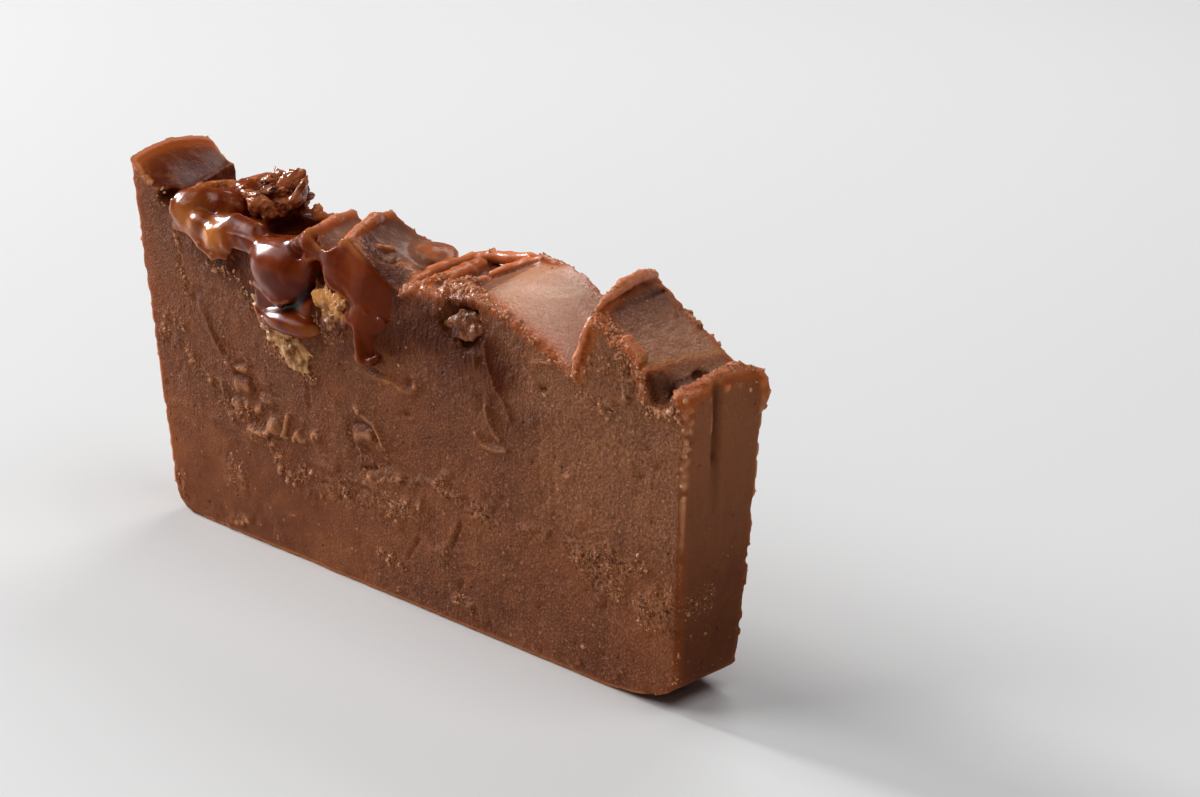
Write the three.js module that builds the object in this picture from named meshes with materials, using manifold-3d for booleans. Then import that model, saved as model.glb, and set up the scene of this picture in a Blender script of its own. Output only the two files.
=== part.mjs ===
// A slice of chocolate fudge cut from a loaf and stood on its base: a tapered slab whose top is the
// loaf's swirled surface, with caramel and pecans worked in at one end.
// Millimetres, +Z up. X runs along the slice, the two cut faces look along -Y (front) and +Y (back),
// and the origin is the middle of the base.
import * as THREE from 'three';
import { mergeVertices } from 'three/addons/utils/BufferGeometryUtils.js';
import Module from 'manifold-3d';

const wasm = await Module();
wasm.setup();

// ---- Driving dimensions ----

const BASE_LENGTH = 134;
const LEFT_DRAFT = 0.094; // how far the left end leans out, mm per mm of height
const RIGHT_DRAFT = 0.066;
const BASE_THICKNESS = 15.4;
const THICKENING = 0.069; // how much thicker the slab gets, mm per mm of height
const LEFT_CORNER = 4.5; // size of the rounded bottom corner
const RIGHT_CORNER = [17, 6.5]; // the worn one: length along the base, height up the end
const TOP_STOCK = 82; // height of the plain slab before its top is shaped
const GAP = 0.3; // clearance between pieces that touch
const PROUD = 0.8; // how far caramel stands out of a cut face

// The swirls of the top, from left to right. Each has a crest, a facet that falls from it to a foot,
// and a sag, which hollows the facet. Every place is [front, back], and each of those is [x, z].
const SWIRLS = [
  { crest: [[-74.5, 68.7], [-75.5, 68.4]], foot: [[-61, 64.8], [-67, 67.2]], sag: 0.4, bulge: 4 },
  { crest: [[-60, 61], [-66.3, 62.8]], foot: [[-24, 60.5], [-35.5, 62.4]], sag: -1.2, bulge: -0.5 },
  { crest: [[-21, 66.5], [-31.6, 64.4]], foot: [[-14.5, 64.4], [-26.3, 63.5]], sag: 0, bulge: 1 },
  { crest: [[-10, 67.8], [-20.5, 66]], foot: [[3.9, 60.3], [-1.1, 60.9]], sag: 0.9, bulge: 1 },
  { crest: [[10.5, 65.5], [5, 63.4]], foot: [[20, 62.4], [15.5, 64.2]], sag: 1.2, bulge: 0.5 },
  { crest: [[23, 63.4], [19.4, 65.6]], foot: [[44.9, 55.2], [33, 62.5]], sag: -1.5, bulge: 0.8 },
  { crest: [[50.5, 68.6], [45.5, 68.9]], foot: [[62, 60], [62.5, 58.6]], sag: 0.8, bulge: 0.5 },
  { crest: [[63.5, 57.6], [64, 57.4]], foot: [[66.5, 57], [66.5, 56.6]], sag: 0.2, bulge: 0 },
  { crest: [[69, 58.3], [69, 57]], foot: [[76, 56.5], [76, 55]], sag: 0, bulge: 0 },
];
const FACET_STEPS = 6;
const ACROSS_STEPS = 6;
const OVERSHOOT = 0.12; // how far the swirls are carried past each face, as a share of the thickness

// The hollow in the front edge beside the right-hand rim.
const NOTCH = { centre: [65.3, -10.4, 56.6], radii: [2.5, 3.6, 2.7], turn: 0 };

// Caramel that was smeared over the front face when the loaf was cut: its outline [x, z], from the
// upper left along the lower edge, round the drip and back over the crests.
const SMEAR_EDGE = [
  [-57, 61.5], [-50.5, 57], [-44.5, 53.5], [-39.8, 50.5], [-38, 46.8], [-30, 44.6], [-22.5, 46.2],
  [-19.5, 49.2], [-12, 49.8], [-10.4, 46.5], [-8.6, 44.2], [-6.6, 44.2], [-5.2, 47.5], [-3, 53],
  [1.5, 58], [3.2, 60.4], [-3.4, 64.6], [-9.8, 68.2], [-14.5, 65], [-20.8, 67], [-26, 64.6],
  [-38, 61.6], [-48, 62],
];
const SMEAR_DEPTH = 2.4;
const SMEAR_POINTS = 60;

// Rounded masses of caramel: the lobe under the first crest, the pool below it, and the vein that
// runs through the slab from one cut face to the other.
const CARAMEL_LOBES = [
  { centre: [-29.6, -8, 58], radii: [9.4, 4.1, 6.8], turn: 0 },
  { centre: [-29.4, -8, 49], radii: [8.8, 3.9, 3.7], turn: 8 },
  { centre: [-44, -7.2, 59.2], radii: [9.5, 4.4, 4.6], turn: 20 },
];
const VEIN = { front: [-34, 57], back: [-41, 57.5], radii: [9.5, 4] };

// The pecans: centre, half sizes, how deep their wrinkles are, and turns in degrees about Y then Z.
const NUTS = {
  nut_across: { centre: [-59.2, -1.6, 62.9], radii: [4.3, 8.9, 4.2], wrinkle: 0.04, turn: 0, swing: -14 },
  nut_pecan_half: { centre: [-46.6, 3.2, 66], radii: [8.6, 6.2, 4.7], wrinkle: 0.14, turn: -8, swing: 12 },
  nut_golden: { centre: [-16.4, -8.2, 53.3], radii: [5, 4.6, 4.4], wrinkle: 0.08, turn: 15, swing: 0 },
  nut_crumbled: { centre: [-30.4, -8, 43], radii: [9, 3.4, 3], wrinkle: 0.1, turn: 27, swing: 0 },
  nut_sunk: { centre: [18.2, -8, 58], radii: [5.6, 4.2, 3.8], wrinkle: 0.08, turn: -10, swing: 0 },
};

// ---- Solids ----

const halfThickness = (z) => (BASE_THICKNESS + THICKENING * z) / 2;

/** A closed three.js geometry as a solid that can be joined and cut. */
function toSolid(geometry) {
  const bare = geometry.clone();
  bare.deleteAttribute('normal');
  bare.deleteAttribute('uv');
  const merged = mergeVertices(bare, 1e-4);
  return new wasm.Manifold(new wasm.Mesh({
    numProp: 3,
    vertProperties: new Float32Array(merged.attributes.position.array),
    triVerts: new Uint32Array(merged.index.array),
  }));
}

/** A solid as a flat-shaded three.js geometry. */
function toGeometry(solid) {
  const mesh = solid.getMesh();
  const geometry = new THREE.BufferGeometry();
  geometry.setAttribute('position', new THREE.BufferAttribute(mesh.vertProperties, mesh.numProp));
  geometry.setIndex(new THREE.BufferAttribute(mesh.triVerts, 1));
  geometry.computeVertexNormals();
  return geometry;
}

/** Moves every vertex of a geometry through a function of its position. */
function reshape(geometry, move) {
  const position = geometry.attributes.position;
  const point = new THREE.Vector3();
  for (let i = 0; i < position.count; i += 1) {
    point.fromBufferAttribute(position, i);
    move(point);
    position.setXYZ(i, point.x, point.y, point.z);
  }
  return geometry;
}

/** A prism of an outline drawn in X and Z, from one depth to another along Y. */
function prism(shape, near, far) {
  const geometry = new THREE.ExtrudeGeometry(shape, { depth: 1, bevelEnabled: false, curveSegments: 6 });
  geometry.rotateX(Math.PI / 2);
  return reshape(geometry, (p) => {
    p.y = p.y < -0.5 ? near(p.z) : far(p.z);
  });
}

/** An ellipsoid turned about Y, standing GAP larger where grow is true. */
function ellipsoid({ centre, radii, turn }, grow = false) {
  const extra = grow ? GAP : 0;
  const geometry = new THREE.SphereGeometry(1, 18, 11);
  geometry.scale(...radii.map((r) => r + extra));
  geometry.rotateY(THREE.MathUtils.degToRad(turn));
  geometry.translate(...centre);
  return toSolid(geometry);
}

const join = (solids) => solids.reduce((whole, next) => whole.add(next));

// ---- The slab ----

/** The slab before its top is shaped: drafted ends, rounded bottom corners, thicker upwards. */
function plainSlab() {
  const end = BASE_LENGTH / 2;
  const [wornLength, wornHeight] = RIGHT_CORNER;
  const shape = new THREE.Shape();
  shape.moveTo(-end + LEFT_CORNER, 0);
  shape.lineTo(end - wornLength, 0);
  shape.quadraticCurveTo(end - 1, 0.8, end + RIGHT_DRAFT * wornHeight, wornHeight);
  shape.lineTo(end + RIGHT_DRAFT * TOP_STOCK, TOP_STOCK);
  shape.lineTo(-end - LEFT_DRAFT * TOP_STOCK, TOP_STOCK);
  shape.lineTo(-end - LEFT_DRAFT * LEFT_CORNER, LEFT_CORNER);
  shape.quadraticCurveTo(-end, 0, -end + LEFT_CORNER, 0);
  return toSolid(prism(shape, (z) => -halfThickness(z), halfThickness));
}

/** The line of the swirled top at a share t of the way from the front face to the back. */
function topLine(t) {
  const line = [];
  for (const { crest, foot, sag, bulge } of SWIRLS) {
    const top = new THREE.Vector2(...crest[0]).lerp(new THREE.Vector2(...crest[1]), t);
    const low = new THREE.Vector2(...foot[0]).lerp(new THREE.Vector2(...foot[1]), t);
    top.y += bulge * Math.sin(Math.PI * t);
    for (let i = 0; i <= FACET_STEPS; i += 1) {
      const s = i / FACET_STEPS;
      const point = top.clone().lerp(low, s);
      point.y -= sag * 4 * s * (1 - s);
      line.push(point);
    }
  }
  return line;
}

/** Everything under the swirled top: one section for each step across the slab, skinned together. */
function underTop() {
  const face = halfThickness(62);
  const low = -5;
  const ends = [-90, 90];
  const sections = [];
  for (let j = 0; j <= ACROSS_STEPS; j += 1) {
    const t = THREE.MathUtils.lerp(-OVERSHOOT, 1 + OVERSHOOT, j / ACROSS_STEPS);
    const line = topLine(t);
    const ring = [
      new THREE.Vector2(ends[0], low),
      new THREE.Vector2(ends[0], line[0].y),
      ...line,
      new THREE.Vector2(ends[1], line[line.length - 1].y),
      new THREE.Vector2(ends[1], low),
    ];
    sections.push({ y: THREE.MathUtils.lerp(-face, face, t), ring });
  }
  const size = sections[0].ring.length;
  const position = sections.flatMap(({ y, ring }) => ring.flatMap((p) => [p.x, y, p.y]));
  const index = [];
  for (let j = 0; j < ACROSS_STEPS; j += 1) {
    for (let i = 0; i < size; i += 1) {
      const a = j * size + i;
      const b = j * size + ((i + 1) % size);
      index.push(a, b, b + size, a, b + size, a + size);
    }
  }
  const last = ACROSS_STEPS * size;
  for (const [a, b, c] of THREE.ShapeUtils.triangulateShape(sections[0].ring, [])) {
    index.push(a, b, c);
  }
  for (const [a, b, c] of THREE.ShapeUtils.triangulateShape(sections[ACROSS_STEPS].ring, [])) {
    index.push(last + a, last + c, last + b);
  }
  const geometry = new THREE.BufferGeometry();
  geometry.setAttribute('position', new THREE.Float32BufferAttribute(position, 3));
  geometry.setIndex(index);
  return toSolid(geometry);
}

// ---- Caramel ----

/** The smear on the front face, GAP larger where grow is true. */
function smear(grow = false) {
  const extra = grow ? GAP : 0;
  const edge = new THREE.CatmullRomCurve3(
    SMEAR_EDGE.map(([x, z]) => new THREE.Vector3(x, z, 0)),
    true,
    'catmullrom',
    0.5,
  );
  const points = edge.getPoints(SMEAR_POINTS).slice(0, SMEAR_POINTS);
  const outline = points.map((p, i) => {
    const before = points[(i + SMEAR_POINTS - 1) % SMEAR_POINTS];
    const after = points[(i + 1) % SMEAR_POINTS];
    const outward = new THREE.Vector2(after.y - before.y, before.x - after.x).normalize();
    return new THREE.Vector2(p.x, p.y).addScaledVector(outward, extra);
  });
  const shape = new THREE.Shape(outline);
  const face = (z) => -halfThickness(z);
  return toSolid(prism(shape, (z) => face(z) - PROUD - extra, (z) => face(z) + SMEAR_DEPTH + extra));
}

/** The vein that runs through the slab, from proud of the front face to proud of the back one. */
function vein(grow = false) {
  const extra = grow ? GAP : 0;
  const [wide, tall] = VEIN.radii.map((r) => r + extra);
  const shape = new THREE.Shape();
  shape.absellipse(0, 0, wide, tall, 0, 2 * Math.PI);
  const reach = halfThickness(VEIN.back[1]) + PROUD + extra;
  const geometry = prism(shape, () => -reach, () => reach);
  return toSolid(reshape(geometry, (p) => {
    const t = (p.y + reach) / (2 * reach);
    p.x += THREE.MathUtils.lerp(VEIN.front[0], VEIN.back[0], t);
    p.z += THREE.MathUtils.lerp(VEIN.front[1], VEIN.back[1], t);
  }));
}

const caramelMass = (grow = false) => join([
  smear(grow),
  vein(grow),
  ...CARAMEL_LOBES.map((lobe) => ellipsoid(lobe, grow)),
]);

// ---- Pecans ----

/** A pecan kernel: an ellipsoid grooved along its length, GAP larger where grow is true. */
function pecan({ centre, radii, wrinkle, turn, swing }, grow = false) {
  const extra = grow ? GAP : 0;
  const geometry = new THREE.SphereGeometry(1, 20, 12);
  const long = radii.indexOf(Math.max(...radii)) === 1 ? 'y' : 'x';
  const across = long === 'y' ? 'x' : 'y';
  reshape(geometry, (p) => {
    const around = Math.atan2(p.z, p[across]);
    p.multiplyScalar(1 + wrinkle * Math.cos(5 * around + 2 * p[long]) * (1 - p[long] ** 4));
  });
  geometry.scale(...radii.map((r) => r + extra));
  geometry.rotateY(THREE.MathUtils.degToRad(turn));
  geometry.rotateZ(THREE.MathUtils.degToRad(swing));
  geometry.translate(...centre);
  return toSolid(geometry);
}

// ---- The slice ----

const looks = {
  fudge: { color: 0x6e4632, roughness: 0.55, metalness: 0 },
  caramel: { color: 0x6a2f14, roughness: 0.18, metalness: 0 },
  nut: { color: 0x96653c, roughness: 0.4, metalness: 0 },
};

const slice = new THREE.Group();

function addNode(name, solid, look) {
  const node = new THREE.Mesh(toGeometry(solid), new THREE.MeshStandardMaterial(look));
  node.name = name;
  slice.add(node);
}

const nutSpaces = join(Object.values(NUTS).map((nut) => pecan(nut, true)));
const fudge = plainSlab()
  .intersect(underTop())
  .subtract(ellipsoid(NOTCH))
  .subtract(caramelMass(true))
  .subtract(nutSpaces);

addNode('fudge', fudge, looks.fudge);
addNode('caramel', caramelMass().subtract(nutSpaces), looks.caramel);
for (const [name, nut] of Object.entries(NUTS)) {
  addNode(name, pecan(nut), looks.nut);
}

export default slice;
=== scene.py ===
"""A slice of chocolate fudge, cut from a swirled loaf and stood on its base, in a plain studio."""
import itertools
import math

import bmesh
import bpy
import numpy as np
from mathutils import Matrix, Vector


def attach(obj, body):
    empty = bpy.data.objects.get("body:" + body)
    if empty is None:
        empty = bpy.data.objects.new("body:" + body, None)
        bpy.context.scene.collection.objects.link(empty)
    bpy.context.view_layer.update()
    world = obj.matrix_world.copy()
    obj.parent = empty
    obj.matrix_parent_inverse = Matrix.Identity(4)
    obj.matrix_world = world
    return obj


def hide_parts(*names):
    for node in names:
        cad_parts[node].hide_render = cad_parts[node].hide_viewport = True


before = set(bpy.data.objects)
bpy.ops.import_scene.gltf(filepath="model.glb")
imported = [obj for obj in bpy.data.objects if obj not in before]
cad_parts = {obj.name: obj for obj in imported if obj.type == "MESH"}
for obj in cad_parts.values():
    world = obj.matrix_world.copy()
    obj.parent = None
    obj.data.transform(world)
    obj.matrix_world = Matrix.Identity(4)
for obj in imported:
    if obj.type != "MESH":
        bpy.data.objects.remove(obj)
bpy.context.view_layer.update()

# ---- The slab ----
# A slice of milk chocolate fudge. It was poured in a tin and swirled on top with a palette knife, and when
# it had set it was cut across with a long knife. Here it is carved out of a grid of depths in millimetres:
# x runs along the slice, -y is the front cut face, and z is up from the base.

# Sizes in millimetres. The drafts are how far the ends lean out, and the thickening is how much thicker the
# slab is, for each millimetre of height. The corners and the cut edge are radii.
MM = 0.001
BASE_LENGTH = 134
LEFT_DRAFT = 0.094
RIGHT_DRAFT = 0.066
BASE_THICKNESS = 15.4
THICKENING = 0.069
LEFT_CORNER = 5.5
RIGHT_CORNER = 0.9
CUT_EDGE = 0.6
GRID_STEP = 0.44
GRID_STEP_THROUGH = 0.5
SLAB_TRIANGLES = 198000

xs = np.arange(-77, 73.5, GRID_STEP)
ys = np.arange(-12.8, 12, GRID_STEP_THROUGH)
zs = np.arange(-1.4, 75.5, GRID_STEP)
axes = (xs, ys, zs)
half = (BASE_THICKNESS + THICKENING * zs) / 2


LATTICE = 32  # the random values come round again after so many bumps
FAR_OFF = 500  # keeps every place on the positive side of the lattice


def noise(x, y, z, size, seed):
    """Smooth random values between -1 and 1, whose bumps are about one size (mm) apart."""
    lattice = np.random.default_rng(seed).uniform(-1, 1, (LATTICE, LATTICE, LATTICE))
    places = [np.asarray(v) / size + FAR_OFF for v in (x, y, z)]
    cells = [np.floor(v).astype(int) for v in places]
    eased = [(v - c) ** 2 * (3 - 2 * (v - c)) for v, c in zip(places, cells)]
    total = 0
    for corner in itertools.product((0, 1), repeat=3):
        share = 1
        for e, c in zip(eased, corner):
            share = share * (e if c else 1 - e)
        i, j, k = ((c + step) % LATTICE for c, step in zip(cells, corner))
        total = total + share * lattice[i, j, k]
    return total


def rough(x, y, z, size, seed, layers=3):
    """Noise with finer and weaker layers on top of it, as in a torn or crumbly surface."""
    parts = [noise(x, y, z, size / 2 ** n, seed + n) / 1.7 ** n for n in range(layers)]
    return sum(parts)


def away(x, z, path):
    """The distance from each place to a line of points, all in one plane."""
    points = np.array(path, float)
    if len(points) == 1:
        return np.hypot(x - points[0, 0], z - points[0, 1])
    nearest = np.full(np.broadcast(x, z).shape, 1e9)
    for (ax, az), (bx, bz) in zip(points[:-1], points[1:]):
        along = ((x - ax) * (bx - ax) + (z - az) * (bz - az)) / ((bx - ax) ** 2 + (bz - az) ** 2)
        along = np.clip(along, 0, 1)
        nearest = np.minimum(nearest, np.hypot(x - ax - along * (bx - ax), z - az - along * (bz - az)))
    return nearest


def strokes(x, z, marks):
    """The height of marks on a face. Each mark is its height, its half width and its line of points."""
    height = np.zeros(np.broadcast(x, z).shape)
    for tall, wide, path in marks:
        height += tall * np.exp(-(away(x, z, path) / wide) ** 2)
    return height


def soft_max(a, b, radius):
    """The larger of two, rounded over where they meet."""
    meet = np.maximum(radius - np.abs(a - b), 0) / radius
    return np.maximum(a, b) + meet * meet * radius / 4


def soft_min(a, b, radius):
    """The smaller of two, rounded over where they meet."""
    return -soft_max(-a, -b, radius)


# The swirls of the top from left to right. A facet falls from each crest to a foot, and each line is given
# at the front face, in the middle of the slab and at the back face, as x and z. Sag hollows the facet, and
# paleness says how pale its skin set, from 0 to 1.
TOP_HALF = 9.84  # half the thickness at the top, where the front and back of each line lie
FACET_PLACES = 9
STEEPEST = 3
SWIRLS = [
    {"crest": [(-74.5, 71.2), (-75, 73.7), (-75.2, 72.7)],
     "foot": [(-60.5, 64.8), (-64, 65.8), (-67, 67)], "sag": 1.2, "paleness": 0},
    {"crest": [(-59.6, 60.5), (-63.2, 61.5), (-66.3, 62.6)],
     "foot": [(-24, 60.5), (-30, 60.5), (-35.5, 62)], "sag": -0.8, "paleness": 0},
    {"crest": [(-21, 66.6), (-26.3, 66.2), (-31.6, 64.3)],
     "foot": [(-14.8, 64.2), (-20, 64.4), (-26.3, 63.2)], "sag": 0.9, "paleness": 0.42},
    {"crest": [(-10.4, 67.8), (-15.6, 68), (-20.5, 66)],
     "foot": [(3.7, 60.2), (1, 60.4), (-1.1, 60.9)], "sag": 0.5, "paleness": 0.3},
    {"crest": [(9.6, 62.8), (8.4, 62.9), (6, 62.4)],
     "foot": [(13.6, 62), (13, 62), (13, 62.8)], "sag": 0.3, "paleness": 0.4},
    {"crest": [(22.4, 63.6), (21.5, 65), (19.4, 65.7)],
     "foot": [(45, 55.4), (39, 59.4), (33, 62.5)], "sag": -1.5, "paleness": 1},
    {"crest": [(50.2, 67.9), (48.4, 68.8), (46.2, 67.8)],
     "foot": [(62, 60.2), (62.3, 59.6), (62.6, 58.8)], "sag": 0.3, "paleness": 0.74},
    {"crest": [(63.3, 57.4), (63.6, 57.4), (64, 57.2)],
     "foot": [(66.6, 56.6), (66.6, 56.8), (66.5, 56.4)], "sag": 0.3, "paleness": 0.5},
    {"crest": [(69, 58.4), (69, 58), (69, 57.2)],
     "foot": [(76, 56.7), (76, 56.4), (76, 55.4)], "sag": 0, "paleness": 0.3},
]


def across(stations, t):
    """A place between front, middle and back, on a curve through all three."""
    front, middle, back = (np.array(s) for s in stations)
    return front * (2 * t - 1) * (t - 1) + middle * 4 * t * (1 - t) + back * t * (2 * t - 1)


def top_height(x_line, y_line):
    """The height of the swirled top over a grid of x and y."""
    rows = []
    for y in y_line:
        t = (y + TOP_HALF) / (2 * TOP_HALF)
        line = []
        for swirl in SWIRLS:
            crest = across(swirl["crest"], t)
            foot = across(swirl["foot"], t)
            for s in np.linspace(0, 1, FACET_PLACES):
                point = crest + (foot - crest) * s
                line.append((point[0], point[1] - swirl["sag"] * 4 * s * (1 - s)))
        line = np.array(line)
        rows.append(np.interp(x_line, line[:, 0], line[:, 1]))
    return np.array(rows).T


top = top_height(xs, ys)
slope_x, slope_y = np.gradient(top, xs, ys)
steep = np.sqrt(1 + np.minimum(slope_x ** 2 + slope_y ** 2, STEEPEST ** 2))

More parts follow.
